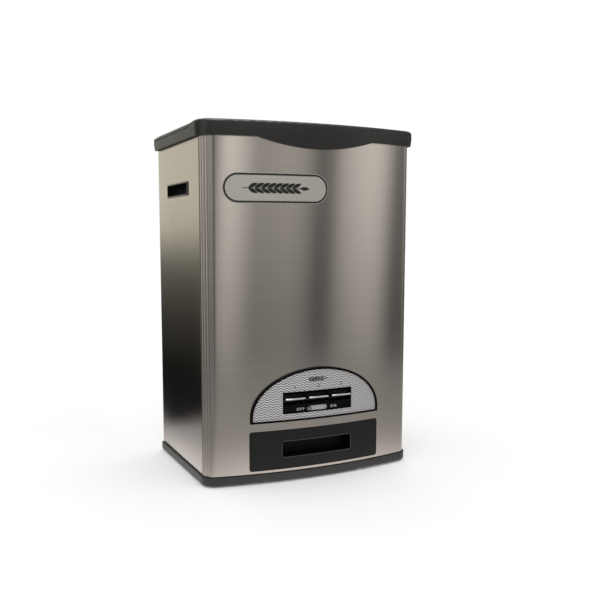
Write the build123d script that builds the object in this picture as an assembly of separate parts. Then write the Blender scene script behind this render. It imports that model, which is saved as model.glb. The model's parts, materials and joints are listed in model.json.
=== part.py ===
from build123d import *
import os
from math import atan2, cos, degrees, dist, pi, radians, sin, sqrt, tan

# A tall stainless rice dispenser with a hinged lid, three measuring keys and a drawer.
# Millimetres. +Z is up and the bowed front faces -Y. The origin is on the table, under the
# middle of the whole object. Names that end in _Z are heights above the table.

# ---------------------------------------------------------------- body and plinth
BODY_W = 327.6          # across the two flat sides
BODY_D = 233.0          # rear face to the crest of the bowed front
TOTAL_H = 502.0         # table to the top of the raised front block
BOW = 19.6              # how far the front bows past the line through its corners
CORNER_R = 18.0         # front corners, seen from above
REAR_R = 3.0            # rear corners, seen from above
SHEET = 1.2             # steel sheet
BEAD_R = 2.5            # upright beads at each front corner
BEAD_COUNT = 3
BEAD_DEPTH = 1.5        # grooves between the beads
BEAD_PITCH = 18.0       # degrees of corner from bead to bead
BEAD_FIRST = 45.5       # degrees of the first bead from straight ahead
REAR_FLANGE = 14.0      # folded edge that the back panel is screwed to
BACK_BAND = 8.0         # raised stiffening frame of the back panel

FOOT_H = 1.5            # feet stand out below the plinth
FOOT_R = 9.0
FOOT_INSET = 1.5        # foot pocket in the plinth
FOOT_SIDE = 31.8        # foot centres inside the body's sides
FOOT_FRONT = 40.5       # foot centres behind the front's crest
FOOT_REAR = 22.5        # foot centres ahead of the rear face
FOOT_WALL = 2.0
PLINTH_OUT = 2.4        # plinth stands out past the body
PLINTH_H = 13.1
PLINTH_WALL = 4.2
PLINTH_FLOOR = 3.0
PLINTH_EDGE_R = 3.6     # rounded bottom edge
SHADOW_GAP = 1.2        # dark line between plinth and steel
LIP_H = 14.0            # lip inside the foot of the steel body
LIP_T = 2.4
LIP_START = 6.0         # from the drawer to the lip beside it

# ---------------------------------------------------------------- rim and lid
BLOCK_RISE = 7.7        # top of the raised front block over the ledge
BLOCK_D = 42.5          # front's crest to the block's rear face
BLOCK_WALL = 4.0
CREST_BACK = 8.0        # front's crest to the line where the block's top starts to fall
BLOCK_FALL = 0.4        # its fall to the rear, so that water runs off
SKIRT_H = 13.5          # ledge to the lower edge of the skirt
LID_H = 5.5             # lid's top over the ledge
RIM_OUT = 6.2           # rim stands out past the body
SKIRT_DRAFT = 2.9       # the skirt leans in by this much at the tongue's tip
RIM_GAP = 1.0           # air between skirt and steel
RIM_DECK = 2.5
RIM_EDGE_R = 5.0
TONGUE_W = 178.0        # drooping tongue at the front of the skirt
TONGUE_DROP = 13.8
MOUTH_SIDE = 31.8       # filling mouth inside the body's sides
MOUTH_FRONT = 10.0      # behind the block's rear face
MOUTH_REAR = 24.5       # ahead of the rear face
MOUTH_R = 18.0
COLLAR_T = 2.5          # collar that hangs into the hopper
COLLAR_H = 17.3
RAMP_LEN = 16.0         # the ledge ramps up to the block along each side
RAMP_RISE = 7.0
RAMP_W = 12.0
SCOOP_W = 84.0          # finger scoop behind the block's middle
SCOOP_R = 11.0
SCOOP_RISE = 0.9        # scoop's floor over the ledge
SCOOP_OPEN = 2.0        # the scoop's round runs out this far behind the block
SCOOP_WALL = 8.0
STRIP_DROP = 1.8        # rear strip of the rim below the lid's top
LID_SKIN = 2.5
LID_GAP = 1.0           # under the lid's side flanges
LID_FRONT_GAP = 2.0
LID_EDGE_R = 2.2
PLUG_GAP = 2.5          # lid's plug ring inside the mouth
PLUG_H = 9.3
PLUG_T = 2.0
SEAL_W = 4.0
SEAL_GAP = 0.1
SEAL_SHORT = 3.0        # the seal's ring is this much shorter than the mouth's rim
HINGE_REAR = 8.5        # hinge axis ahead of the rear face
HINGE_DROP = 0.1        # hinge axis below the ledge
HINGE_IN = 37.0         # middle of each lid knuckle inside the mouth's sides
KNUCKLE_R = 4.0
KNUCKLE_W = 20.0
KNUCKLE_ROOM = 1.0      # air round a knuckle
KNUCKLE_SIDE_GAP = 0.6
HINGE_PIN_R = 1.5
HINGE_ARM_RISE = 0.8    # underside of a hinge arm over its axis
EAR_T = 4.4
PAD_FRONT = 3.0         # walls of the rim's hinge pads
PAD_REAR = 2.5
LID_REAR_GAP = 6.5      # lid's rear edge ahead of the hinge axis
STRIP_REACH = 4.8       # rear strip starts this far ahead of the hinge axis

# ---------------------------------------------------------------- drawer and its bay
DRAWER_W = 206.0
DRAWER_H = 55.6
DRAWER_FOOT = 3.8       # drawer front over the foot of the steel
DRAWER_GAP = 0.6        # round the drawer front, in the steel
DRAWER_CORNER = 4.0
FRONT_T = 3.2           # drawer front's skin
FRONT_EDGE = 2.0        # its edges that run back to the tub
SLOT_W = 110.6          # finger slot
SLOT_H = 22.7
SLOT_UP = 16.3          # slot over the drawer's lower edge
SLOT_R = 3.0
CUP_T = 2.0
CUP_D = 23.5            # front's crest to the inside of the cup's back
CUP_ROOM_ABOVE = 7.0    # room for the finger tips above the slot
TUB_ROOM = 6.5          # from the tub to the bay wall, for the rail
TUB_FRONT = 13.5        # front's crest to the tub
TUB_REAR = 28.5         # tub ahead of the rear face
TUB_LIFT = 1.4          # tub over the drawer's lower edge
TUB_DOWN = 3.7          # tub below the drawer's upper edge
TUB_T = 2.0
TUB_CORNER = 8.0
RUNNER_T = 2.5
RUNNER_FRONT = 4.0      # runner ends inside the tub's length
RUNNER_REAR = 10.0
RAIL_GAP = 0.5
RAIL_END_GAP = 0.6
RAIL_TIP_GAP = 1.2
RAIL_STOP_GAP = 3.0     # rear stop behind the tub
RAIL_T = 1.5
RAIL_RIB = 3.0
SCREW_BESIDE = 20.0     # drawer screws beside the slot
SCREW_LOW = 12.0        # and inside the drawer's lower and upper edges
SCREW_HIGH = 14.0
BAY_GAP = 0.5           # beside the drawer
BAY_T = 1.5
BAY_FRONT = 14.5        # front's crest to the bay
BAY_REAR = 16.5
BAY_FOOT = 12.0
BAY_FOOT_IN = 12.0      # feet end inside the bay's length
BAY_SCREW_GAP = 2.0     # from a screw's boss to the nearest foot pocket
DECK_UP = 2.5           # top of the deck over the drawer
DECK_SIDE = 12.5        # deck stands out past the bay walls' inner faces
CHUTE_T = 1.5
CHUTE_FLANGE = 3.0
CHUTE_GAP = 1.1         # over the tub
CHUTE_OVER = 6.0        # opening in the deck past the ports

# ---------------------------------------------------------------- metering mechanism
GATE_BACK = 50.5        # front's crest to the gate shaft
SHAFT_SPAN = 31.5       # gate shaft to key shaft
GATE_SHAFT_R = 3.0
KEY_SHAFT_R = 2.5
RUN_CLEAR = 0.05        # radial running clearance
GATE_R = 40.0           # outside of the curved gates
GATE_T = 2.0
GATE_HALF = 22.0        # half angle of each gate
PORT_HALF = 20.0        # half angle of each port
GATE_TURN = 44.0        # degrees from closed to open
GATE_CLEAR = 0.6        # between gates and chambers, and gates and throats
GATE_DECK_GAP = 0.8     # under the gates
CHAMBER_T = 1.8
CHAMBER_FRONT = 23.7    # gate shaft to the chambers' front
CHAMBER_REAR = 40.0     # gate shaft to the chambers' rear
CHAMBER_H = 34.3        # gate shaft to the chambers' roof
CHAMBER_FLOOR = 38.0    # degrees of slope
PORTIONS = (1, 2, 3)    # widths of the chambers, in shares
CHEEK_T = 2.0
SIDE_GAP = 0.8          # beside each cheek
FORK_T = 2.4
FORK_GAP = 0.5
LANE_GAP = 0.8
MECH_LEFT = 5.0         # from the drawer's left end to the first cheek
MECH_RIGHT = 7.1        # from the last cheek to the drawer's right end
HUB_R = 5.5
CRANK_R = 10.5          # crank pin from the gate shaft
CRANK_PIN_R = 1.5
FORK_SLOT_GAP = 0.35
FORK_WALL = 2.2
FORK_REACH = 24.5
BRACKET_T = 2.5
BRACKET_FOOT = 9.0
BRACKET_FOOT_FRONT = 18.0   # foot starts ahead of the gate shaft
BRACKET_MARGIN = 2.0
BRACKET_CUT_UP = 16.0   # the front corner is cut off from here over the shafts
BRACKET_CUT_BACK = 22.0
BRACKET_SCREW_FRONT = 10.0
BRACKET_SCREW_REAR = 8.0
HOUSING_SCREW_IN = 20.0
THROAT_UP = 2.5         # throat plate over the gates
THROAT_PLATE = 2.5
RIDGE_H = 6.0
CLIP_T = 0.8
CLIP_OUT = 2.4
CLIP_GROOVE = 0.5

# ---------------------------------------------------------------- keys and control panel
KEY_SIDE_GAP = 0.5
DIVIDER_W = 2.0
KEY_SHELL_R = 13.2
KEY_SHELL_T = 1.7
KEY_SHELL_UP = 40.0     # degrees of shell above and below straight ahead
KEY_SHELL_DOWN = 42.0
KEY_LIP_REACH = 22.0    # from the key shaft
KEY_LIP_T = 2.0
KEY_LIP_TOP = 1.3       # above the key shaft
KEY_WEB = 2.0
SPRING_R = 6.6
SPRING_WIRE = 0.45
SPRING_PITCH = 1.35
SPRING_TURNS = 4.25
SPRING_FRONT_LEG = 8.6
SPRING_BACK_LEG = 13.0
PEG_R = 1.2
PEG_GAP = 0.15

PANEL_LESS = 1.0        # D-shaped bezel is this much narrower than the drawer
PANEL_DOWN = 30.8       # its foot below the shafts
PANEL_LEG_H = 8.3       # its straight sides
ARCH_H = 66.6
RIM_PROUD = 3.4
BEZEL_SIDE = 3.2
BEZEL_FOOT = 2.4
BEZEL_FLOOR_OUT = 0.8
BEZEL_FLOOR_IN = 2.2
OPENING_INSET = 4.0
OPENING_GAP = 0.3
HOOK_X = 60.0           # snap hooks behind the bezel
HOOK_W = 12.0
HOOK_H = 5.0
HOOK_TOP_H = 9.0
HOOK_IN = 2.0
FACE_T = 0.8
FACE_GAP = 0.2
WINDOW_W = 110.6
WINDOW_DOWN = 20.4      # window below and above the shafts
WINDOW_UP = 11.0
WINDOW_IN = 3.0         # front's crest to the recessed window
WELL_T = 1.5
WINDOW_T = 2.0
WINDOW_FLANGE = 1.5
WINDOW_FLANGE_W = 2.6
KEY_SLOT_DOWN = 8.2     # key slots below and above the shafts
KEY_SLOT_UP = 8.5
SWITCH_W = 34.2         # slide switch slot
SWITCH_H = 7.2
SWITCH_DOWN = 15.8      # below the shafts
SWITCH_BAR_T = 1.8
SWITCH_BAR_H = 9.8
SWITCH_BAR_GAP = 0.3
SWITCH_BAR_OVER = 2.0   # the bar reaches past its slot
SWITCH_KNOB_R = 3.2
SWITCH_KNOB_OUT = 2.2
LOCK_TAB_H = 3.0
LOCK_TAB_OUT = 3.0
LOCK_TAB_W = 8.0
GUIDE_T = 1.2
GUIDE_W = 6.0

BADGE_W = 152.0
BADGE_H = 41.0
BADGE_SIDE = 25.8       # from the left side to the plate's end
BADGE_DOWN = 79.3       # from the top of the steel to the plate's middle
BADGE_T = 0.8

# ---------------------------------------------------------------- hopper, hand holes, screws
HOPPER_SIDE = 23.8      # hopper inside the body's sides
HOPPER_FRONT = 16.5
HOPPER_REAR = 12.5
HOPPER_T = 2.0
HOPPER_FLOOR = 38.0     # degrees of the rear slope
HOPPER_FLANGE = 2.0
FLANGE_INSET = 4.5      # hopper flange inside the body's outline
HOPPER_OUT_MARGIN = 2.0
BOSS_H = 6.8            # bosses that hold the hopper under the rim

HAND_W = 100.0          # outside of the hand cup's frame
HAND_H = 20.0
HAND_R = 3.0
HAND_BACK = 130.5       # front's crest to the middle of the hand holes
HAND_DOWN = 77.1        # top of the steel to their middle
HAND_DEPTH = 18.0
HAND_FRAME = 1.2        # the frame covers the steel by this much, and is as thick
HAND_CUP_T = 1.0
HAND_HOLE_GAP = 0.1
HAND_BARB_W = 20.0      # snap barbs behind the steel
HAND_BARB = 0.7
FIT = 0.2               # loose fit of parts that don't move

SCREW_R = 1.5
SCREW_HOLE_GAP = 0.05
SCREW_CLEAR = 0.3
SCREW_HEAD_R = 3.0
SCREW_HEAD_H = 1.8
DRAWER_SCREW = 6.0
RIM_SCREW = 8.0
BOSS_R = 5.0
RIM_SCREW_SIDE = 13.8   # rim screws inside the body's sides
RIM_SCREW_FRONT = 34.0  # behind the block
RIM_SCREW_REAR = 31.5   # ahead of the rear face
BACK_SCREW_INSET = 9.0
BACK_SCREW_FOOT = 29.2  # lowest and highest screws inside the steel's height
BACK_SCREW_TOP = 26.8
BACK_SCREWS = 4         # on each side

# ---------------------------------------------------------------- derived places
RIGHTWARD, UPWARD, FRONTWARD, DOWNWARD = 0.0, 90.0, 180.0, 270.0    # degrees in a side view
FRONT_Y = -BODY_D / 2
REAR_Y = BODY_D / 2
SIDE_X = BODY_W / 2
BOW_R = (SIDE_X ** 2 + BOW ** 2) / (2 * BOW)
BOW_Y = FRONT_Y + BOW_R
CORNER_X = SIDE_X - CORNER_R
CORNER_Y = BOW_Y - sqrt((BOW_R - CORNER_R) ** 2 - CORNER_X ** 2)
CORNER_TURN = degrees(atan2(CORNER_X, BOW_Y - CORNER_Y))
HIGH_Z = TOTAL_H + CORNER_R     # above everything
FAR = BODY_W + BODY_D           # past everything
SMALL = 0.01

PLINTH_TOP_Z = FOOT_H + PLINTH_H
STEEL_Z0 = PLINTH_TOP_Z + SHADOW_GAP
LEDGE_Z = TOTAL_H - BLOCK_RISE
DECK_UNDER_Z = LEDGE_Z - RIM_DECK
SKIRT_Z = LEDGE_Z - SKIRT_H
COLLAR_Z = LEDGE_Z - COLLAR_H
LID_TOP_Z = LEDGE_Z + LID_H
SKIN_UNDER_Z = LID_TOP_Z - LID_SKIN
REAR_STRIP_Z = LID_TOP_Z - STRIP_DROP
SCOOP_FLOOR_Z = LEDGE_Z + SCOOP_RISE
HINGE_Z = LEDGE_Z - HINGE_DROP
BLOCK_Y = FRONT_Y + BLOCK_D
RAMP_Y = BLOCK_Y + RAMP_LEN
MOUTH_W = BODY_W - 2 * MOUTH_SIDE
MOUTH_FRONT_Y = BLOCK_Y + MOUTH_FRONT
MOUTH_REAR_Y = REAR_Y - MOUTH_REAR
HINGE_X = MOUTH_W / 2 - HINGE_IN
HINGE_Y = REAR_Y - HINGE_REAR
LID_FRONT_Y = BLOCK_Y + LID_FRONT_GAP
LID_REAR_Y = HINGE_Y - LID_REAR_GAP
STRIP_Y = HINGE_Y - STRIP_REACH

DRAWER_Z0 = STEEL_Z0 + DRAWER_FOOT
DRAWER_Z1 = DRAWER_Z0 + DRAWER_H
SLOT_Z0 = DRAWER_Z0 + SLOT_UP
SLOT_Z1 = SLOT_Z0 + SLOT_H
CUP_BACK_Y = FRONT_Y + CUP_D
BAY_IN = DRAWER_W / 2 + BAY_GAP
BAY_FRONT_Y = FRONT_Y + BAY_FRONT
BAY_REAR_Y = REAR_Y - BAY_REAR
TUB_W = 2 * (BAY_IN - TUB_ROOM)
TUB_FRONT_Y = FRONT_Y + TUB_FRONT
TUB_REAR_Y = REAR_Y - TUB_REAR
TUB_Z0 = DRAWER_Z0 + TUB_LIFT
TUB_Z1 = DRAWER_Z1 - TUB_DOWN
RUNNER_Z = (TUB_Z0 + TUB_Z1 - RUNNER_T) / 2
RUNNER_OUT = TUB_ROOM - RAIL_T - RAIL_END_GAP
DECK_Z = DRAWER_Z1 + DECK_UP
DECK_W = 2 * (BAY_IN + DECK_SIDE)

PIVOT_Z = DECK_Z + GATE_DECK_GAP + GATE_R
GATE_Y = FRONT_Y + GATE_BACK
KEY_Y = GATE_Y - SHAFT_SPAN
CHAMBER_FRONT_Y = GATE_Y - CHAMBER_FRONT
CHAMBER_REAR_Y = GATE_Y + CHAMBER_REAR
CHAMBER_ROOF_Z = PIVOT_Z + CHAMBER_H
THROAT_Z = PIVOT_Z + GATE_R + THROAT_UP
HOPPER_FOOT_Z = THROAT_Z + THROAT_PLATE
PORT_R = GATE_R - GATE_T - GATE_CLEAR
PORT_Y = PORT_R * sin(radians(PORT_HALF))
MECH_LEFT_X = -DRAWER_W / 2 + MECH_LEFT
LANE_WALLS = 2 * CHEEK_T + 2 * SIDE_GAP + 2 * CHAMBER_T + FORK_GAP + FORK_T
MECH_W = DRAWER_W - MECH_LEFT - MECH_RIGHT
PORTION_W = (MECH_W - len(PORTIONS) * LANE_WALLS - (len(PORTIONS) - 1) * LANE_GAP) / sum(PORTIONS)

PANEL_W = DRAWER_W - PANEL_LESS
PANEL_Z0 = PIVOT_Z - PANEL_DOWN
PANEL_SPRING_Z = PANEL_Z0 + PANEL_LEG_H
PANEL_TOP_Z = PANEL_SPRING_Z + ARCH_H
WINDOW_Y = FRONT_Y + WINDOW_IN
WINDOW_Z0 = PIVOT_Z - WINDOW_DOWN
WINDOW_Z1 = PIVOT_Z + WINDOW_UP
KEY_PITCH = WINDOW_W / len(PORTIONS)
KEY_SLOT_Z0 = PIVOT_Z - KEY_SLOT_DOWN
KEY_SLOT_Z1 = PIVOT_Z + KEY_SLOT_UP
SWITCH_Z = PIVOT_Z - SWITCH_DOWN
SWITCH_TRAVEL = SWITCH_W - SWITCH_H
BADGE_X = -SIDE_X + BADGE_SIDE + BADGE_W / 2
BADGE_Z = DECK_UNDER_Z - BADGE_DOWN

HOPPER_W = BODY_W - 2 * HOPPER_SIDE
HOPPER_FRONT_Y = FRONT_Y + HOPPER_FRONT
HOPPER_REAR_Y = REAR_Y - HOPPER_REAR
HOPPER_TOP_Z = DECK_UNDER_Z - BOSS_H
HAND_Y = FRONT_Y + HAND_BACK
HAND_Z = DECK_UNDER_Z - HAND_DOWN
FOOT_X = SIDE_X - FOOT_SIDE
FOOT_YS = (FRONT_Y + FOOT_FRONT, REAR_Y - FOOT_REAR)
RIM_SCREW_X = SIDE_X - RIM_SCREW_SIDE
RIM_SCREW_ENDS = (BLOCK_Y + RIM_SCREW_FRONT, REAR_Y - RIM_SCREW_REAR)
RIM_SCREW_YS = (RIM_SCREW_ENDS[0], sum(RIM_SCREW_ENDS) / 2, RIM_SCREW_ENDS[1])
BACK_SCREW_Z0 = STEEL_Z0 + BACK_SCREW_FOOT
BACK_SCREW_STEP = (DECK_UNDER_Z - BACK_SCREW_TOP - BACK_SCREW_Z0) / (BACK_SCREWS - 1)
BACK_SCREW_ZS = [BACK_SCREW_Z0 + i * BACK_SCREW_STEP for i in range(BACK_SCREWS)]


# ---------------------------------------------------------------- drawing helpers
def block(x, y, z):
    """A box between two limits on each axis."""
    size = [b - a for a, b in (x, y, z)]
    middle = [(a + b) / 2 for a, b in (x, y, z)]
    return Pos(*middle) * Box(*size)


def mirrored(solid):
    """The solid's mirror image across the object's middle plane."""
    return mirror(solid, about=Plane.YZ)


def x_rod(x, y, z, radius):
    """A round bar along X between two limits."""
    return Pos((x[0] + x[1]) / 2, y, z) * Rot(0, 90, 0) * Cylinder(radius, x[1] - x[0])


def z_rod(x, y, z, radius):
    """A round bar along Z between two heights."""
    return Pos(x, y, (z[0] + z[1]) / 2) * Cylinder(radius, z[1] - z[0])


def y_rod(x, y, z, radius):
    """A round bar along Y between two limits."""
    return Pos(x, (y[0] + y[1]) / 2, z) * Rot(90, 0, 0) * Cylinder(radius, y[1] - y[0])


def polar(centre, radius, angle):
    """A point at a radius and an angle in degrees from a centre."""
    return (centre[0] + radius * cos(radians(angle)), centre[1] + radius * sin(radians(angle)))


def plan(out, z=0.0):
    """The body's outline seen from above, moved outwards by out, as a face at height z."""
    bow, corner = BOW_R + out, CORNER_R + out
    rear = max(REAR_R + out, REAR_R / 2)
    side, back = SIDE_X + out, REAR_Y + out
    turn = CORNER_TURN - UPWARD
    mid_turn = turn / 2
    centre, bow_centre = (CORNER_X, CORNER_Y), (0, BOW_Y)
    rear_centre = (side - rear, back - rear)
    start, bend, end = (polar(centre, corner, a) for a in (turn, mid_turn, RIGHTWARD))
    rear_start, rear_bend, rear_end = (polar(rear_centre, rear, a) for a in (RIGHTWARD, UPWARD / 2, UPWARD))
    right = [
        ThreePointArc(start, bend, end),
        Line(end, rear_start),
        ThreePointArc(rear_start, rear_bend, rear_end),
    ]
    left = [mirror(edge, about=Plane.YZ) for edge in right]
    crest = polar(bow_centre, bow, DOWNWARD)
    flip = (-start[0], start[1])
    edges = [ThreePointArc(flip, crest, start), Line(rear_end, (-rear_end[0], rear_end[1]))]
    return Pos(0, 0, z) * make_face(edges + right + left)


def slab(out, z0, z1):
    """The body's outline, moved outwards by out, raised between two heights."""
    return extrude(plan(out, z0), z1 - z0)


def front_face(sketch, x=0.0, z=0.0):
    """A sketch stood up in the front view, centred at x and z."""
    return Plane.XZ * Pos(x, z) * sketch


def through(face, y0, y1):
    """A front-view face carried from y0 to y1."""
    return extrude(Pos(0, y1, 0) * face, y1 - y0, dir=(0, -1, 0))


def bowed(face, inner, outer):
    """What a front-view face cuts out of the layer between two offsets of the bowed front."""
    depth = (FRONT_Y - outer - RIM_OUT, FRONT_Y + BOW + CORNER_R)
    tall = Pos(0, BOW_Y, HIGH_Z / 2)
    layer = tall * Cylinder(BOW_R + outer, HIGH_Z) - tall * Cylinder(BOW_R + inner, HIGH_Z)
    return through(face, *depth) & layer


def side_prism(points, x):
    """A side-view outline of (y, z) points, carried between two limits of x."""
    face = make_face(Polyline(*points, close=True))
    return Pos(x[0], 0, 0) * extrude(Plane.YZ * face, x[1] - x[0])


def side_carry(sketch, x):
    """A side-view sketch, carried between two limits of x."""
    return Pos(x[0], 0, 0) * extrude(Plane.YZ * sketch, x[1] - x[0])


def pie(radius, middle, half, centre=(0, 0)):
    """A sector of a disc that opens to both sides of a middle angle."""
    far = radius * 3
    wedge = make_face(Polyline((0, 0), polar((0, 0), far, middle - half),
                               polar((0, 0), far, middle), polar((0, 0), far, middle + half), close=True))
    return Pos(*centre) * (Circle(radius) & wedge)


def arc_band(inner, outer, middle, half, centre=(0, 0)):
    """A curved strip between two radii, to both sides of a middle angle."""
    return pie(outer, middle, half, centre) - Pos(*centre) * Circle(inner)


def ring(width_x, depth_y, radius, wall, z0, z1, middle_y):
    """An upright rectangular ring with rounded corners; width and depth are its outside."""
    outer = RectangleRounded(width_x, depth_y, radius)
    inner = RectangleRounded(width_x - 2 * wall, depth_y - 2 * wall, radius - wall)
    return Pos(0, middle_y, z0) * extrude(outer - inner, z1 - z0)


def screw(length, point, direction):
    """A pan-head screw whose head sits on a point, with its shank running along a direction."""
    head = Pos(0, 0, -SCREW_HEAD_H / 2) * Cylinder(SCREW_HEAD_R, SCREW_HEAD_H)
    head = chamfer(head.edges().group_by(Axis.Z)[0], SCREW_HEAD_H / 3)
    cross = Box(SCREW_HEAD_R, SCREW_HEAD_H / 3, SCREW_HEAD_H) + Box(SCREW_HEAD_H / 3, SCREW_HEAD_R, SCREW_HEAD_H)
    head -= Pos(0, 0, -SCREW_HEAD_H) * cross
    shank = Pos(0, 0, length / 2) * Cylinder(SCREW_R, length)
    return Plane(origin=point, z_dir=direction) * (head + shank)


def group(solids):
    """Separate solids kept together as one sub-part."""
    return Compound(children=[s for one in solids for s in one.solids()])


# ---------------------------------------------------------------- control-panel outline
def d_shape(side, foot):
    """The arched panel outline, with its sides and arch drawn in by side and its foot by foot."""
    half, top = PANEL_W / 2 - side, PANEL_TOP_Z - side
    arch = Ellipse(half, top - PANEL_SPRING_Z)
    arch = arch & Pos(0, top / 2) * Rectangle(PANEL_W, top)
    legs = Rectangle(2 * half, PANEL_SPRING_Z - PANEL_Z0 - foot)
    legs = Pos(0, -(PANEL_SPRING_Z - PANEL_Z0 - foot) / 2) * legs
    return front_face(arch + legs, 0, PANEL_SPRING_Z)


# ---------------------------------------------------------------- lanes of the mechanism
def mechanism_lanes():
    """Where each chamber, cheek and fork lies along X, for the three portions."""
    lanes, x = [], MECH_LEFT_X
    fork_right = (True, True, False)
    for share, right in zip(PORTIONS, fork_right):
        lane = {}
        if not right:
            lane["fork"] = (x, x + FORK_T)
            lane["pin"] = (x - FORK_GAP / 2, x + FORK_T + FORK_GAP)
            x += FORK_T + FORK_GAP
        lane["cheek_left"] = (x, x + CHEEK_T)
        x += CHEEK_T + SIDE_GAP
        lane["inside"] = (x + CHAMBER_T, x + CHAMBER_T + PORTION_W * share)
        lane["walls"] = (x, lane["inside"][1] + CHAMBER_T)
        x = lane["walls"][1] + SIDE_GAP
        lane["cheek_right"] = (x, x + CHEEK_T)
        x += CHEEK_T
        if right:
            x += FORK_GAP
            lane["fork"] = (x, x + FORK_T)
            lane["pin"] = (x - FORK_GAP, x + FORK_T + FORK_GAP / 2)
            x += FORK_T
        x += LANE_GAP
        lanes.append(lane)
    return lanes


LANES = mechanism_lanes()
MECH_RIGHT_X = LANES[-1]["cheek_right"][1]
LEFT_BRACKET = (MECH_LEFT_X - LANE_GAP - BRACKET_T, MECH_LEFT_X - LANE_GAP)
RIGHT_BRACKET = (MECH_RIGHT_X + LANE_GAP, MECH_RIGHT_X + LANE_GAP + BRACKET_T)
SHAFT_ENDS = (LEFT_BRACKET[0] - CLIP_OUT, RIGHT_BRACKET[1] + CLIP_OUT)
KEY_CENTRES = [(i - 1) * KEY_PITCH for i in range(len(PORTIONS))]
KEY_HALF = KEY_PITCH / 2 - DIVIDER_W / 2 - KEY_SIDE_GAP
KEY_TURN = 2 * degrees(atan2(CRANK_R * sin(radians(GATE_TURN / 2)),
                             GATE_Y - KEY_Y - CRANK_R * cos(radians(GATE_TURN / 2))))


# ---------------------------------------------------------------- casing
def bead_places():
    """Angle and centre of each upright bead on the right front corner."""
    radius = CORNER_R - BEAD_R
    angles = [BEAD_FIRST + i * BEAD_PITCH - UPWARD for i in range(BEAD_COUNT)]
    return [polar((CORNER_X, CORNER_Y), radius, a) for a in angles]


def beaded_outline(out, bead_r, margin):
    """The outline with its front corners sunk to groove level and the beads standing on them."""
    face = plan(out)
    spread = BEAD_PITCH * BEAD_COUNT / 2 + margin
    middle = BEAD_FIRST + BEAD_PITCH * (BEAD_COUNT - 1) / 2 - UPWARD
    groove_r = CORNER_R + out - BEAD_DEPTH
    sunk = arc_band(groove_r, CORNER_R + BEAD_R, middle, spread, (CORNER_X, CORNER_Y))
    for flip in (False, True):
        cut = mirror(sunk, about=Plane.YZ) if flip else sunk
        face = face - cut
        for x, y in bead_places():
            face = face + Pos(-x if flip else x, y) * Circle(bead_r)
    return face


def body_wrap():
    """One bent steel sheet: the bowed front, both sides, corner beads and rear flanges."""
    tall = DECK_UNDER_Z - STEEL_Z0
    step = degrees(SHEET / CORNER_R)
    outer = beaded_outline(0.0, BEAD_R, 0.0)
    inner = beaded_outline(-SHEET, BEAD_R - SHEET, step)
    wrap = Pos(0, 0, STEEL_Z0) * extrude(outer - inner, tall)
    gap = SHEET + SMALL
    wrap -= block((-SIDE_X + gap, SIDE_X - gap), (REAR_Y - gap, REAR_Y + gap), (0, HIGH_Z))
    flange_y = (REAR_Y - 2 * SHEET, REAR_Y - SHEET)
    flange = block((SIDE_X - SHEET - REAR_FLANGE, SIDE_X - SHEET / 2), flange_y, (STEEL_Z0, DECK_UNDER_Z))
    for z in BACK_SCREW_ZS:
        hole = y_rod(SIDE_X - BACK_SCREW_INSET, (REAR_Y - 3 * SHEET, REAR_Y), z, SCREW_R + SCREW_HOLE_GAP)
        flange -= hole
    wrap += flange
    wrap += mirrored(flange)
    wrap -= drawer_opening(DRAWER_GAP)
    wrap -= through(d_shape(OPENING_INSET, OPENING_INSET), FRONT_Y - RIM_OUT, FRONT_Y + BOW)
    return wrap - hand_block(-HAND_FRAME, (-FAR, FAR))


def drawer_opening(gap):
    """The space of the drawer front, grown by gap."""
    width, height = DRAWER_W + 2 * gap, DRAWER_Z1 - DRAWER_Z0 + 2 * gap
    face = RectangleRounded(width, height, DRAWER_CORNER)
    return through(front_face(face, 0, (DRAWER_Z0 + DRAWER_Z1) / 2), FRONT_Y - RIM_OUT, FRONT_Y + BOW)


def back_panel():
    """Flat steel panel screwed to the wrap's rear flanges, with a raised stiffening frame."""
    half = SIDE_X - SHEET - FIT
    panel = block((-half, half), (REAR_Y - SHEET, REAR_Y), (STEEL_Z0, DECK_UNDER_Z))
    inset, band = 3 * REAR_FLANGE, BACK_BAND
    width, height = 2 * (half - inset), DECK_UNDER_Z - STEEL_Z0 - 2 * inset
    frame = RectangleRounded(width, height, band) - RectangleRounded(width - 2 * band, height - 2 * band, band / 2)
    panel += through(front_face(frame, 0, (STEEL_Z0 + DECK_UNDER_Z) / 2), REAR_Y - SMALL, REAR_Y + SHEET)
    for x, z in back_screw_points():
        panel -= y_rod(x, (REAR_Y - 2 * SHEET, REAR_Y + SHEET), z, SCREW_R + SCREW_CLEAR)
    return panel


def back_screw_points():
    x = SIDE_X - BACK_SCREW_INSET
    return [(s * x, z) for s in (-1, 1) for z in BACK_SCREW_ZS]


def back_screws():
    return group([screw(4 * SHEET, (x, REAR_Y, z), (0, -1, 0)) for x, z in back_screw_points()])


def foot_points():
    return [(s * FOOT_X, y) for s in (-1, 1) for y in FOOT_YS]


def bay_screw_points():
    x = BAY_IN + BAY_T + BAY_FOOT / 2
    clear = FOOT_R + FOOT_WALL + BAY_SCREW_GAP + BOSS_R
    return [(s * x, y) for s in (-1, 1) for y in (FOOT_YS[0] + clear, FOOT_YS[1] - clear)]


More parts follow.
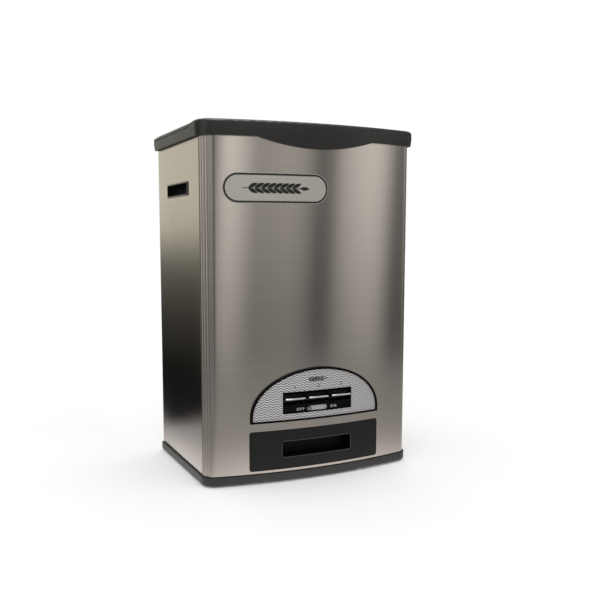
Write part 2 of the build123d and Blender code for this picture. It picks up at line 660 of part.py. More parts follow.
def base_plinth():
    """Moulded plinth: rounded skirt, floor, foot pockets, screw bosses and a lip inside the steel."""
    body = slab(PLINTH_OUT, FOOT_H, PLINTH_TOP_Z)
    body = fillet(body.edges().group_by(Axis.Z)[0], PLINTH_EDGE_R)
    floor_z = STEEL_Z0 - PLINTH_FLOOR
    body += slab(-SHADOW_GAP / 4, PLINTH_TOP_Z - SMALL, STEEL_Z0)
    body -= slab(PLINTH_OUT - PLINTH_WALL, 0, floor_z)
    for x, y in foot_points():
        body += z_rod(x, y, (FOOT_H + SHEET, floor_z + SMALL), FOOT_R + FOOT_WALL)
        body -= z_rod(x, y, (0, FOOT_H + SHEET + FOOT_INSET), FOOT_R + FIT)
    for x, y in bay_screw_points():
        body += z_rod(x, y, (FOOT_H + SHEET, floor_z + SMALL), BOSS_R)
        body -= z_rod(x, y, (FOOT_H + 2 * SHEET, STEEL_Z0 + SMALL), SCREW_R + SCREW_HOLE_GAP)
    return body + plinth_lip()


def plinth_lip():
    """Upright lip that the steel body slips over: sides, rear, and front beside the drawer."""
    z = (STEEL_Z0 - SMALL, STEEL_Z0 + LIP_H)
    inner = SIDE_X - SHEET
    side = block((inner - LIP_T, inner), (CORNER_Y + CORNER_R, REAR_Y - 4 * SHEET - REAR_FLANGE), z)
    flange_in = SIDE_X - SHEET - REAR_FLANGE
    rear = block((-flange_in + LIP_T / 2, flange_in - LIP_T / 2), (REAR_Y - SHEET - LIP_T, REAR_Y - SHEET), z)
    start, end = DRAWER_W / 2 + LIP_START, CORNER_X - CORNER_R / 2
    strip = front_face(Rectangle(end - start, LIP_H + SMALL), (start + end) / 2, (z[0] + z[1]) / 2)
    front = bowed(strip, -SHEET - LIP_T, -SHEET)
    return side + mirrored(side) + rear + front + mirrored(front)


def rubber_feet():
    foot_top = FOOT_H + SHEET + FOOT_INSET
    foot = z_rod(0, 0, (0, foot_top), FOOT_R)
    foot = chamfer(foot.edges().group_by(Axis.Z)[0], FOOT_H / 2)
    return group([Pos(x, y, 0) * foot for x, y in foot_points()])


# ---------------------------------------------------------------- rim
def tongue():
    """The drooping tongue's space in the front view: a shallow circular segment."""
    half = TONGUE_W / 2
    arc = ThreePointArc((-half, SKIRT_Z), (0, SKIRT_Z - TONGUE_DROP), (half, SKIRT_Z))
    top = Polyline((half, SKIRT_Z), (half, SKIRT_Z + RIM_DECK), (-half, SKIRT_Z + RIM_DECK), (-half, SKIRT_Z))
    return Plane.XZ * make_face([arc] + top.edges())


def ramp(lift):
    """Both side ramps of the ledge, raised by lift."""
    points = [(RAMP_Y, LEDGE_Z + lift), (BLOCK_Y - SMALL, LEDGE_Z + RAMP_RISE + lift),
              (BLOCK_Y - SMALL, LEDGE_Z - RIM_DECK / 2), (RAMP_Y, LEDGE_Z - RIM_DECK / 2)]
    edge = SIDE_X + RIM_OUT
    side = side_prism(points, (edge - RAMP_W, edge + RIM_OUT))
    return side + mirrored(side)


def top_rim():
    """Moulded rim: drafted skirt with a tongue, ledge, raised front block, collar and hinge ears."""
    tip_z = SKIRT_Z - TONGUE_DROP - RIM_GAP
    mould_z = LEDGE_Z - RIM_EDGE_R
    skirt = loft([plan(RIM_OUT - SKIRT_DRAFT, tip_z), plan(RIM_OUT, mould_z)], ruled=True)
    keep = block((-FAR, FAR), (-FAR, FAR), (SKIRT_Z, HIGH_Z)) + through(tongue(), FRONT_Y - BOW, FRONT_Y + BOW)
    skirt = skirt & keep
    head = slab(RIM_OUT, mould_z - SMALL, TOTAL_H)
    head = fillet(head.edges().group_by(Axis.Z)[-1], RIM_EDGE_R)
    rim = skirt + head
    rim -= slab(RIM_GAP, tip_z - 1, DECK_UNDER_Z)
    pocket = slab(RIM_GAP, DECK_UNDER_Z - SMALL, LID_TOP_Z - RIM_DECK)
    side_pocket = block((SCOOP_W / 2 + SCOOP_WALL, FAR), (-FAR, BLOCK_Y - BLOCK_WALL), (0, HIGH_Z))
    rim -= pocket & (side_pocket + mirrored(side_pocket))
    rim -= block((-FAR, FAR), (BLOCK_Y, STRIP_Y), (LEDGE_Z, HIGH_Z)) - ramp(0.0)
    rim -= block((-FAR, FAR), (STRIP_Y - SMALL, FAR), (REAR_STRIP_Z, HIGH_Z))
    slope = [(BLOCK_Y + SMALL, TOTAL_H - BLOCK_FALL), (FRONT_Y + CREST_BACK, TOTAL_H), (FRONT_Y - RIM_OUT, HIGH_Z),
             (BLOCK_Y + SMALL, HIGH_Z)]
    rim -= side_prism(slope, (-FAR, FAR))
    scoop_y = BLOCK_Y - SCOOP_R + SCOOP_OPEN
    rim -= x_rod((-SCOOP_W / 2, SCOOP_W / 2), scoop_y, SCOOP_FLOOR_Z + SCOOP_R, SCOOP_R)
    rim += knuckle_pads()
    rim -= mouth(0.0, (0, HIGH_Z))
    rim += mouth(COLLAR_T, (COLLAR_Z, LEDGE_Z - SMALL)) - mouth(0.0, (0, HIGH_Z))
    for side in (1, -1):
        centre = side * HINGE_X
        half = KNUCKLE_W / 2 + KNUCKLE_SIDE_GAP
        hollow = (HINGE_Y - KNUCKLE_R - KNUCKLE_ROOM, HINGE_Y + KNUCKLE_R + KNUCKLE_ROOM)
        rim -= block((centre - half, centre + half), hollow, (HINGE_Z - KNUCKLE_R - KNUCKLE_SIDE_GAP, HIGH_Z))
        reach = half + EAR_T + SMALL
        rim -= x_rod((centre - reach, centre + reach), HINGE_Y, HINGE_Z, HINGE_PIN_R + SCREW_HOLE_GAP / 2)
    for x, y in rim_screw_points():
        rim -= z_rod(x, y, (0, HIGH_Z), SCREW_R + SCREW_CLEAR)
    return rim


def knuckle_pads():
    """Thick places in the rim that hold the lid's hinge pins."""
    half = KNUCKLE_W / 2 + KNUCKLE_SIDE_GAP + EAR_T
    y = (HINGE_Y - KNUCKLE_R - PAD_FRONT, HINGE_Y + KNUCKLE_R + PAD_REAR)
    z = (HOPPER_TOP_Z + RIM_GAP, REAR_STRIP_Z)
    pad = block((HINGE_X - half, HINGE_X + half), y, z)
    low = block((0, FAR), (0, STRIP_Y), (LEDGE_Z, HIGH_Z))
    pad -= low
    return pad + mirrored(pad)


def mouth(grow, z):
    """The filling mouth, grown by grow, between two heights."""
    width, depth = MOUTH_W + 2 * grow, MOUTH_REAR_Y - MOUTH_FRONT_Y + 2 * grow
    middle = (MOUTH_FRONT_Y + MOUTH_REAR_Y) / 2
    return Pos(0, middle, z[0]) * extrude(RectangleRounded(width, depth, MOUTH_R + grow), z[1] - z[0])


def rim_screw_points():
    return [(s * RIM_SCREW_X, y) for s in (-1, 1) for y in RIM_SCREW_YS]


def rim_screws():
    return group([screw(RIM_SCREW, (x, y, LEDGE_Z), (0, 0, -1)) for x, y in rim_screw_points()])


# ---------------------------------------------------------------- lid
def lid_panel():
    """Moulded lid: skin, side and rear flanges, plug ring and two hinge knuckles."""
    low = LEDGE_Z + LID_GAP
    lid = slab(RIM_OUT, low, LID_TOP_Z)
    lid = fillet(lid.edges().group_by(Axis.Z)[-1], LID_EDGE_R)
    lid &= block((-FAR, FAR), (LID_FRONT_Y, LID_REAR_Y), (0, HIGH_Z))
    hollow = SIDE_X + RIM_OUT - LID_SKIN
    lid -= block((-hollow, hollow), (LID_FRONT_Y - 1, LID_REAR_Y - LID_SKIN), (0, SKIN_UNDER_Z))
    clear = ramp(LID_GAP)
    lid -= clear
    plug_w = MOUTH_W - 2 * PLUG_GAP
    plug_d = MOUTH_REAR_Y - MOUTH_FRONT_Y - 2 * PLUG_GAP
    middle = (MOUTH_REAR_Y + MOUTH_FRONT_Y) / 2
    top = SKIN_UNDER_Z + SMALL
    lid += ring(plug_w, plug_d, MOUTH_R - PLUG_GAP, PLUG_T, SKIN_UNDER_Z - PLUG_H, top, middle)
    arm_top = SKIN_UNDER_Z + 1
    for side in (1, -1):
        x = (side * HINGE_X - KNUCKLE_W / 2, side * HINGE_X + KNUCKLE_W / 2)
        arm = block(x, (LID_REAR_Y - LID_SKIN, HINGE_Y), (HINGE_Z + HINGE_ARM_RISE, arm_top))
        lid += arm + x_rod(x, HINGE_Y, HINGE_Z, KNUCKLE_R)
        lid -= x_rod(x, HINGE_Y, HINGE_Z, HINGE_PIN_R + RUN_CLEAR)
    return lid


def lid_seal():
    """Soft gasket under the lid, round the filling mouth."""
    width = MOUTH_W + 2 * COLLAR_T + 2 * SEAL_W
    depth = MOUTH_REAR_Y - MOUTH_FRONT_Y + 2 * COLLAR_T + 2 * SEAL_W - SEAL_SHORT
    radius = MOUTH_R + COLLAR_T + SEAL_W
    middle = (MOUTH_REAR_Y + MOUTH_FRONT_Y) / 2
    return ring(width, depth, radius, SEAL_W, LEDGE_Z + SEAL_GAP, SKIN_UNDER_Z, middle)


def lid_hinge_pins():
    reach = KNUCKLE_W / 2 + KNUCKLE_SIDE_GAP + EAR_T
    pins = [x_rod((s * HINGE_X - reach, s * HINGE_X + reach), HINGE_Y, HINGE_Z, HINGE_PIN_R) for s in (-1, 1)]
    return group(pins)


# ---------------------------------------------------------------- hopper and throats
def hopper():
    """Rice bin: straight walls, a sloping floor that leads to the throats, and a top flange."""
    outer_x = (-HOPPER_W / 2, HOPPER_W / 2)
    outer_y = (HOPPER_FRONT_Y, HOPPER_REAR_Y)
    foot_x, foot_y = hopper_foot()
    rise = (HOPPER_REAR_Y - foot_y[1]) * tan(radians(HOPPER_FLOOR))
    shoulder = HOPPER_FOOT_Z + rise
    shell = hopper_body(0.0, HOPPER_FOOT_Z, shoulder, outer_x, outer_y, foot_x, foot_y)
    shell -= hopper_body(HOPPER_T, HOPPER_FOOT_Z - SMALL, shoulder, outer_x, outer_y, foot_x, foot_y)
    flange = slab(-FLANGE_INSET, HOPPER_TOP_Z - HOPPER_FLANGE, HOPPER_TOP_Z)
    flange -= block(outer_x, outer_y, (0, HIGH_Z))
    shell += flange
    for x, y in rim_screw_points():
        shell += z_rod(x, y, (HOPPER_TOP_Z - SMALL, DECK_UNDER_Z), BOSS_R)
        shell -= z_rod(x, y, (0, DECK_UNDER_Z + 1), SCREW_R + SCREW_HOLE_GAP)
    return shell


def hopper_foot():
    """Outside limits of the hopper's lower end, round the throats."""
    inside = (LANES[0]["inside"][0], LANES[-1]["inside"][1])
    grow = HOPPER_T + HOPPER_OUT_MARGIN
    return (inside[0] - grow, inside[1] + grow), (GATE_Y - PORT_Y - grow, GATE_Y + PORT_Y + grow)


def hopper_body(inset, foot_z, shoulder, x, y, foot_x, foot_y):
    """The funnel and the straight box above it, drawn in by inset."""
    lift = inset / cos(radians(HOPPER_FLOOR)) if inset else 0.0

    def layer(xs, ys, z):
        size = (xs[1] - xs[0] - 2 * inset, ys[1] - ys[0] - 2 * inset)
        return Pos((xs[0] + xs[1]) / 2, (ys[0] + ys[1]) / 2, z) * Rectangle(*size)

    funnel = loft([layer(foot_x, foot_y, foot_z), layer(x, y, shoulder + lift)], ruled=True)
    box_top = HOPPER_TOP_Z + (1 if inset else 0)
    box = extrude(layer(x, y, shoulder + lift - SMALL), box_top - shoulder - lift)
    return funnel + box


def feed_throat():
    """Plate under the hopper with one throat for each chamber, and ridges that part the rice."""
    plate_x = (LEFT_BRACKET[0], RIGHT_BRACKET[1])
    body = block(plate_x, (CHAMBER_FRONT_Y - BRACKET_MARGIN, CHAMBER_REAR_Y + BRACKET_MARGIN), (THROAT_Z, HOPPER_FOOT_Z))
    for lane in LANES:
        inside = lane["inside"]
        tube_x = (inside[0] - CHAMBER_T, inside[1] + CHAMBER_T)
        tube_y = (GATE_Y - PORT_Y - CHAMBER_T, GATE_Y + PORT_Y + CHAMBER_T)
        body += block(tube_x, tube_y, (PIVOT_Z, THROAT_Z + SMALL))
        body -= block(inside, (GATE_Y - PORT_Y, GATE_Y + PORT_Y), (0, HIGH_Z))
    body -= x_rod((MECH_LEFT_X - FAR / 2, MECH_RIGHT_X + FAR / 2), GATE_Y, PIVOT_Z, GATE_R + GATE_CLEAR)
    for left, right in zip(LANES, LANES[1:]):
        low, high = left["inside"][1], right["inside"][0]
        roof = [(low, HOPPER_FOOT_Z - SMALL), (high, HOPPER_FOOT_Z - SMALL),
                ((low + high) / 2, HOPPER_FOOT_Z + RIDGE_H)]
        face = Plane.XZ * make_face(Polyline(*roof, close=True))
        reach = PORT_Y + HOPPER_OUT_MARGIN - SMALL
        body += through(face, GATE_Y - reach, GATE_Y + reach)
    return body


# ---------------------------------------------------------------- metering housing
def chamber_profile(wall):
    """Side view of a chamber, drawn in by wall: a round front and a long sloping rear."""
    radius = PORT_R - wall
    slope = radians(CHAMBER_FLOOR)
    inner = PORT_R - CHAMBER_T
    edge = (inner * sin(radians(PORT_HALF)), -inner * cos(radians(PORT_HALF)))
    drop = CHAMBER_T - wall
    edge = (edge[0] + drop * sin(slope), edge[1] - drop * cos(slope))
    front = CHAMBER_FRONT_Y - GATE_Y + wall
    rear = CHAMBER_REAR_Y - GATE_Y - wall
    roof = CHAMBER_ROOF_Z - PIVOT_Z - wall
    disc = Circle(radius) & Pos(front + FAR / 2, 0) * Rectangle(FAR, FAR)
    tail = Polyline((0, roof), (rear, roof), (rear, edge[1] + (rear - edge[0]) * tan(slope)), edge,
                    (0, 0), close=True)
    return Pos(GATE_Y, PIVOT_Z) * (disc + make_face(tail))


def metering_housing():
    """Three chambers side by side on one rear plate, each with a port above and below."""
    rear = (CHAMBER_REAR_Y - CHAMBER_T, CHAMBER_REAR_Y)
    housing = block((MECH_LEFT_X, MECH_RIGHT_X), rear, (DECK_Z, THROAT_Z))
    foot = block((MECH_LEFT_X, MECH_RIGHT_X), (rear[0], rear[1] + BAY_FOOT), (DECK_Z, DECK_Z + HOPPER_T))
    housing += foot
    for lane in LANES:
        housing += side_carry(chamber_profile(0.0), lane["walls"])
    for lane in LANES:
        housing -= side_carry(chamber_profile(CHAMBER_T), lane["inside"])
        port = (GATE_Y - PORT_Y, GATE_Y + PORT_Y)
        housing -= block(lane["inside"], port, (PIVOT_Z, THROAT_Z - SMALL))
        housing -= block(lane["inside"], port, (DECK_Z - 1, PIVOT_Z))
    housing -= x_rod((MECH_LEFT_X, MECH_RIGHT_X), GATE_Y, PIVOT_Z, GATE_SHAFT_R + SCREW_HOLE_GAP)
    for x, y in housing_screw_points():
        housing -= z_rod(x, y, (DECK_Z - 1, DECK_Z + 2 * HOPPER_T), SCREW_R + SCREW_CLEAR)
    return housing


def housing_screw_points():
    return [(x, CHAMBER_REAR_Y + BAY_FOOT / 2) for x in
            (MECH_LEFT_X + HOUSING_SCREW_IN, 0, MECH_RIGHT_X - HOUSING_SCREW_IN)]


# ---------------------------------------------------------------- moving gates and keys
def gate_rocker(lane):
    """One rocker: two cheeks that carry the upper and the lower curved gate, and a crank pin."""
    upper, lower = UPWARD + GATE_TURN, DOWNWARD
    centre = (GATE_Y, PIVOT_Z)
    span = (lane["cheek_left"][0], lane["cheek_right"][1])
    cheek = Pos(*centre) * Circle(HUB_R)
    for middle in (upper, lower):
        cheek += pie(GATE_R, middle, GATE_HALF, centre)
    bands = [arc_band(GATE_R - GATE_T, GATE_R, m, GATE_HALF, centre) for m in (upper, lower)]
    rocker = side_carry(cheek, lane["cheek_left"]) + side_carry(cheek, lane["cheek_right"])
    for band in bands:
        rocker += side_carry(band, span)
    rest = FRONTWARD + GATE_TURN / 2
    pin_y, pin_z = polar(centre, CRANK_R, rest)
    near = lane["cheek_right"] if lane["fork"][0] > lane["cheek_right"][0] else lane["cheek_left"]
    arm = Pos(*polar(centre, CRANK_R / 2, rest)) * Rot(0, 0, rest) * Rectangle(CRANK_R, 4 * CRANK_PIN_R)
    rocker += side_carry(arm + Pos(pin_y, pin_z) * Circle(2 * CRANK_PIN_R), near)
    reach = (min(near[0], lane["pin"][0]), max(near[1], lane["pin"][1]))
    rocker += x_rod(reach, pin_y, pin_z, CRANK_PIN_R)
    return rocker - x_rod((span[0] - FORK_T, span[1] + FORK_T), GATE_Y, PIVOT_Z, GATE_SHAFT_R + RUN_CLEAR)


def key_hub_ends(index):
    """Limits of a key's hub along the key shaft."""
    centre, fork = KEY_CENTRES[index], LANES[index]["fork"]
    low = min(centre - KEY_HALF, fork[0])
    high = max(centre + KEY_HALF, fork[1])
    if index == 1:
        high = fork[1]
    if index == 2:
        low = fork[0]
    return (low, high)


def spring_side(index):
    """Each spring sits in the half of its key that has a chamber wall behind it."""
    return -1 if index == 1 else 1


def measuring_key(index):
    """One key: a finger lip on a curved shell, webs, a hub, and a fork that drives the gates."""
    centre_x = KEY_CENTRES[index]
    centre = (KEY_Y, PIVOT_Z)
    x = (centre_x - KEY_HALF, centre_x + KEY_HALF)
    middle = FRONTWARD + (KEY_SHELL_DOWN - KEY_SHELL_UP) / 2
    half = (KEY_SHELL_DOWN + KEY_SHELL_UP) / 2
    key = side_carry(arc_band(KEY_SHELL_R - KEY_SHELL_T, KEY_SHELL_R, middle, half, centre), x)
    web = pie(KEY_SHELL_R - KEY_SHELL_T / 2, middle, half, centre)
    clear_r = (HUB_R + SIDE_GAP) / cos(radians(half))
    outer_web = arc_band(clear_r, KEY_SHELL_R - KEY_SHELL_T / 2, middle, half, centre)
    hub = key_hub_ends(index)
    webs = [(x[0], x[0] + KEY_WEB), (centre_x - KEY_WEB / 2, centre_x + KEY_WEB / 2), (x[1] - KEY_WEB, x[1])]
    for limits in webs:
        key += side_carry(web if hub[0] <= limits[0] and limits[1] <= hub[1] else outer_web, limits)
    lip_z = PIVOT_Z + KEY_LIP_TOP
    lip = block(x, (KEY_Y - KEY_LIP_REACH, KEY_Y - KEY_SHELL_R + KEY_SHELL_T / 2), (lip_z - KEY_LIP_T, lip_z))
    key += fillet(lip.edges().filter_by(Axis.X).group_by(Axis.Y)[0], KEY_LIP_T / 2.2)
    key += x_rod(hub, KEY_Y, PIVOT_Z, HUB_R)
    key += side_carry(fork_profile(), LANES[index]["fork"])
    side = spring_side(index)
    peg_y, peg_z = spring_peg()
    peg = sorted((centre_x, centre_x + side * (KEY_HALF - KEY_WEB / 2)))
    key += x_rod(peg, peg_y, peg_z, PEG_R)
    bore = (hub[0] - 1, hub[1] + 1)
    return key - x_rod(bore, KEY_Y, PIVOT_Z, KEY_SHAFT_R + RUN_CLEAR)


def fork_profile():
    """Side view of the fork that holds a gate rocker's crank pin, at rest."""
    slot = CRANK_PIN_R + FORK_SLOT_GAP
    half = slot + FORK_WALL
    pin_from_key = (GATE_Y - KEY_Y) - CRANK_R
    arm = Pos(FORK_REACH / 2, 0) * Rectangle(FORK_REACH, 2 * half)
    arm -= Pos(pin_from_key - slot + FORK_REACH, 0) * Rectangle(2 * FORK_REACH, 2 * slot)
    arm += Circle(HUB_R)
    return Pos(KEY_Y, PIVOT_Z) * Rot(0, 0, -KEY_TURN / 2) * arm


def spring_peg():
    """Where the spring's front leg bears on its key."""
    return (KEY_Y - SPRING_FRONT_LEG + PEG_R, PIVOT_Z - SPRING_R + SPRING_WIRE + PEG_R + PEG_GAP)


def key_spring(index):
    """Torsion spring round a key's hub: one leg under the key's peg, one on a chamber wall."""
    height = SPRING_PITCH * SPRING_TURNS
    rise = SPRING_PITCH / (2 * pi)
    coil = Helix(SPRING_PITCH, height, SPRING_R)
    end_angle = SPRING_TURNS * 360
    start = Vector(SPRING_R, 0, 0)
    end = Vector(*polar((0, 0), SPRING_R, end_angle), height)
    start_way = Vector(0, SPRING_R, rise).normalized()
    end_flat = polar((0, 0), SPRING_R, end_angle + 90)
    end_way = Vector(end_flat[0], end_flat[1], rise).normalized()
    front_leg = Line(start - start_way * SPRING_FRONT_LEG, start)
    back_leg = Line(end, end + end_way * SPRING_BACK_LEG)
    path = Wire([front_leg, coil, back_leg])
    section = Plane(origin=path @ 0, z_dir=path % 0) * Circle(SPRING_WIRE)
    spring = sweep(section, path=path, is_frenet=True)
    x = KEY_CENTRES[index] + spring_side(index) * (KEY_HALF - height) / 2
    x -= 0 if spring_side(index) > 0 else height
    stand = Plane(origin=(x, KEY_Y, PIVOT_Z), x_dir=(0, 0, -1), z_dir=(1, 0, 0))
    return stand * spring


def spring_gap():
    """Least gap between a spring's turns, measured between points along its wire."""
    steps = 72
    turn = [(*polar((0, 0), SPRING_R, 360 * i / steps), SPRING_PITCH * i / steps)
            for i in range(int(steps * SPRING_TURNS) + 1)]
    spans = [dist(a, b) for i, a in enumerate(turn) for b in turn[i + steps // 2:]]
    return min(spans) - 2 * SPRING_WIRE


def key_shaft():
    return grooved_shaft(KEY_Y, KEY_SHAFT_R)


def gate_shaft():
    return grooved_shaft(GATE_Y, GATE_SHAFT_R)


def grooved_shaft(y, radius):
    """Steel rod with a groove for a clip outside each bracket."""
    shaft = x_rod(SHAFT_ENDS, y, PIVOT_Z, radius)
    for x in clip_places():
        shaft -= x_rod(x, y, PIVOT_Z, radius + 1) - x_rod(x, y, PIVOT_Z, radius - CLIP_GROOVE)
    return shaft


def clip_places():
    return [(LEFT_BRACKET[0] - CLIP_T - SMALL, LEFT_BRACKET[0] - SMALL),
            (RIGHT_BRACKET[1] + SMALL, RIGHT_BRACKET[1] + CLIP_T + SMALL)]


def shaft_clips():
    clips = []
    for y, radius in ((KEY_Y, KEY_SHAFT_R), (GATE_Y, GATE_SHAFT_R)):
        for low, high in clip_places():
            x = (low + CLIP_T / 8, high - CLIP_T / 8)
            washer = x_rod(x, y, PIVOT_Z, radius + CLIP_OUT)
            washer -= x_rod((x[0] - 1, x[1] + 1), y, PIVOT_Z, radius - CLIP_GROOVE + SCREW_HOLE_GAP)
            mouth_half = radius - 2 * CLIP_GROOVE
            washer -= block((x[0] - 1, x[1] + 1), (y - mouth_half, y + mouth_half), (PIVOT_Z - FOOT_R, PIVOT_Z))
            clips.append(washer)
    return group(clips)


def key_spacers():
    """Tubes that keep the keys in place along their shaft."""
    ends = [(LEFT_BRACKET[1] + FORK_GAP, key_hub_ends(0)[0] - FORK_GAP),
            (key_hub_ends(2)[1] + FORK_GAP, RIGHT_BRACKET[0] - FORK_GAP)]
    tubes = []
    for x in ends:
        tube = x_rod(x, KEY_Y, PIVOT_Z, HUB_R - 1)
        tubes.append(tube - x_rod((x[0] - 1, x[1] + 1), KEY_Y, PIVOT_Z, KEY_SHAFT_R + RUN_CLEAR))
    return group(tubes)


def side_bracket(x, foot_side):
    """Folded steel bracket that holds an end of both shafts and carries the throat plate."""
    plate = block(x, (BAY_FRONT_Y, CHAMBER_REAR_Y + BRACKET_MARGIN), (DECK_Z, THROAT_Z))
    front = [(BAY_FRONT_Y - SMALL, PIVOT_Z + BRACKET_CUT_UP), (GATE_Y - BRACKET_CUT_BACK, THROAT_Z + SMALL),
             (BAY_FRONT_Y - SMALL, THROAT_Z + SMALL)]
    plate -= side_prism(front, (x[0] - 1, x[1] + 1))
    outer = x[0] if foot_side < 0 else x[1]
    foot_x = sorted((outer - foot_side * BRACKET_T, outer + foot_side * BRACKET_FOOT))
    foot_y = (GATE_Y - BRACKET_FOOT_FRONT, CHAMBER_REAR_Y + BRACKET_MARGIN)
    bracket = plate + block(foot_x, foot_y, (DECK_Z, DECK_Z + BRACKET_T))
    for y, radius in ((KEY_Y, KEY_SHAFT_R), (GATE_Y, GATE_SHAFT_R)):
        bracket -= x_rod((x[0] - 1, x[1] + 1), y, PIVOT_Z, radius + SCREW_HOLE_GAP)
    for px, py in bracket_screw_points():
        bracket -= z_rod(px, py, (DECK_Z - 1, DECK_Z + 2 * BRACKET_T), SCREW_R + SCREW_CLEAR)
    return bracket


def bracket_screw_points():
    xs = (LEFT_BRACKET[0] - BRACKET_FOOT / 2, RIGHT_BRACKET[1] + BRACKET_FOOT / 2)
    return [(x, y) for x in xs for y in
            (GATE_Y - BRACKET_SCREW_FRONT, CHAMBER_REAR_Y - BRACKET_SCREW_REAR)]


# ---------------------------------------------------------------- drawer bay
def bay_opening(grow, z):
    """The hole in the deck that the rice falls through."""
    x = (MECH_LEFT_X - SIDE_GAP - grow, MECH_RIGHT_X + SIDE_GAP + grow)
    reach = PORT_Y + CHUTE_OVER + grow
    y = (GATE_Y - reach, GATE_Y + reach)
    return block(x, y, z)


def bay_frame():
    """Folded steel channel over the drawer: two walls with feet, and the deck."""
    wall = block((BAY_IN, BAY_IN + BAY_T), (BAY_FRONT_Y, BAY_REAR_Y), (STEEL_Z0, DECK_Z))
    foot_y = (BAY_FRONT_Y + BAY_FOOT_IN, BAY_REAR_Y - BAY_FOOT_IN)
    foot = block((BAY_IN, BAY_IN + BAY_T + BAY_FOOT), foot_y, (STEEL_Z0, STEEL_Z0 + BAY_T))
    deck = block((-DECK_W / 2, DECK_W / 2), (BAY_FRONT_Y, BAY_REAR_Y), (DECK_Z - BAY_T, DECK_Z))
    frame = wall + foot + mirrored(wall + foot) + deck
    frame -= bay_opening(0.0, (DECK_Z - 2 * BAY_T, DECK_Z + 1))
    for x, y in bay_screw_points():
        frame -= z_rod(x, y, (0, DECK_Z - 2 * BAY_T), SCREW_R + SCREW_CLEAR)
    for x, y in bracket_screw_points() + housing_screw_points():
        frame -= z_rod(x, y, (DECK_Z - 2 * BAY_T, DECK_Z + 1), SCREW_R + SCREW_HOLE_GAP)
    return frame


def bay_screws():
    return group([screw(STEEL_Z0 - FOOT_H - 2 * SHEET - 1, (x, y, STEEL_Z0 + BAY_T), (0, 0, -1))
                  for x, y in bay_screw_points()])


def mechanism_screws():
    feet = [screw(BRACKET_T + BAY_T, (x, y, DECK_Z + BRACKET_T), (0, 0, -1)) for x, y in bracket_screw_points()]
    rear = [screw(HOPPER_T + BAY_T, (x, y, DECK_Z + HOPPER_T), (0, 0, -1)) for x, y in housing_screw_points()]
    return group(feet + rear)


def discharge_chute():
    """Funnel frame under the deck that keeps the rice inside the drawer."""
    top = DECK_Z - BAY_T
    chute = bay_opening(CHUTE_FLANGE, (top - CHUTE_T, top)) + bay_opening(CHUTE_T, (TUB_Z1 + CHUTE_GAP, top - SMALL))
    return chute - bay_opening(0.0, (0, HIGH_Z))


def drawer_rail():
    """Right drawer rail: a channel that the tub's runner slides in, with a rear stop."""
    wall = (BAY_IN - RAIL_T, BAY_IN)
    y = (BAY_FRONT_Y + RAIL_T, BAY_REAR_Y - RAIL_T)
    low = (RUNNER_Z - RAIL_GAP - RAIL_RIB, RUNNER_Z - RAIL_GAP)
    high = (RUNNER_Z + RUNNER_T + RAIL_GAP, RUNNER_Z + RUNNER_T + RAIL_GAP + RAIL_RIB)
    tip = TUB_W / 2 + RAIL_TIP_GAP
    rail = block(wall, y, (low[0], high[1]))
    rail += block((tip, BAY_IN), y, low) + block((tip, BAY_IN), y, high)
    return rail + block((tip, BAY_IN), (TUB_REAR_Y + RAIL_STOP_GAP, y[1]), (low[0], high[1]))


# ---------------------------------------------------------------- drawer
def drawer_tub():
    """Moulded tub that catches the rice, with side runners and a window for the finger cup."""
    half = TUB_W / 2
    tub = block((-half, half), (TUB_FRONT_Y, TUB_REAR_Y), (TUB_Z0, TUB_Z1))
    tub = fillet(tub.edges().filter_by(Axis.Z).group_by(Axis.Y)[-1], TUB_CORNER)
    inner = block((-half + TUB_T, half - TUB_T), (TUB_FRONT_Y + TUB_T, TUB_REAR_Y - TUB_T), (TUB_Z0 + TUB_T, HIGH_Z))
    tub -= fillet(inner.edges().filter_by(Axis.Z).group_by(Axis.Y)[-1], TUB_CORNER - TUB_T)
    runner_y = (TUB_FRONT_Y + RUNNER_FRONT, TUB_REAR_Y - RUNNER_REAR)
    runner = block((half - SMALL, half + RUNNER_OUT), runner_y, (RUNNER_Z, RUNNER_Z + RUNNER_T))
    tub += runner + mirrored(runner)
    tub -= cup_block(CUP_T + FIT, (TUB_FRONT_Y - 1, TUB_FRONT_Y + TUB_T + 1))
    for x, z in drawer_screw_points():
        tub -= y_rod(x, (TUB_FRONT_Y - 1, TUB_FRONT_Y + 2 * TUB_T), z, SCREW_R + SCREW_CLEAR)
    return tub


def cup_block(grow, y):
    """The space of the finger cup, grown by grow."""
    x = (-SLOT_W / 2 - grow, SLOT_W / 2 + grow)
    return block(x, y, (SLOT_Z0 - grow, SLOT_Z1 + CUP_ROOM_ABOVE + grow))


def finger_cup():
    """Dark box behind the finger slot, taller than the slot so that fingers hook in."""
    skin_y = FRONT_Y + FRONT_T
    cup = cup_block(CUP_T, (skin_y - BOW, CUP_BACK_Y + CUP_T))
    cup -= cup_block(0.0, (skin_y - BOW - 1, CUP_BACK_Y))
    front_layer = Pos(0, BOW_Y, HIGH_Z / 2) * Cylinder(BOW_R - FRONT_T, HIGH_Z)
    return cup & front_layer


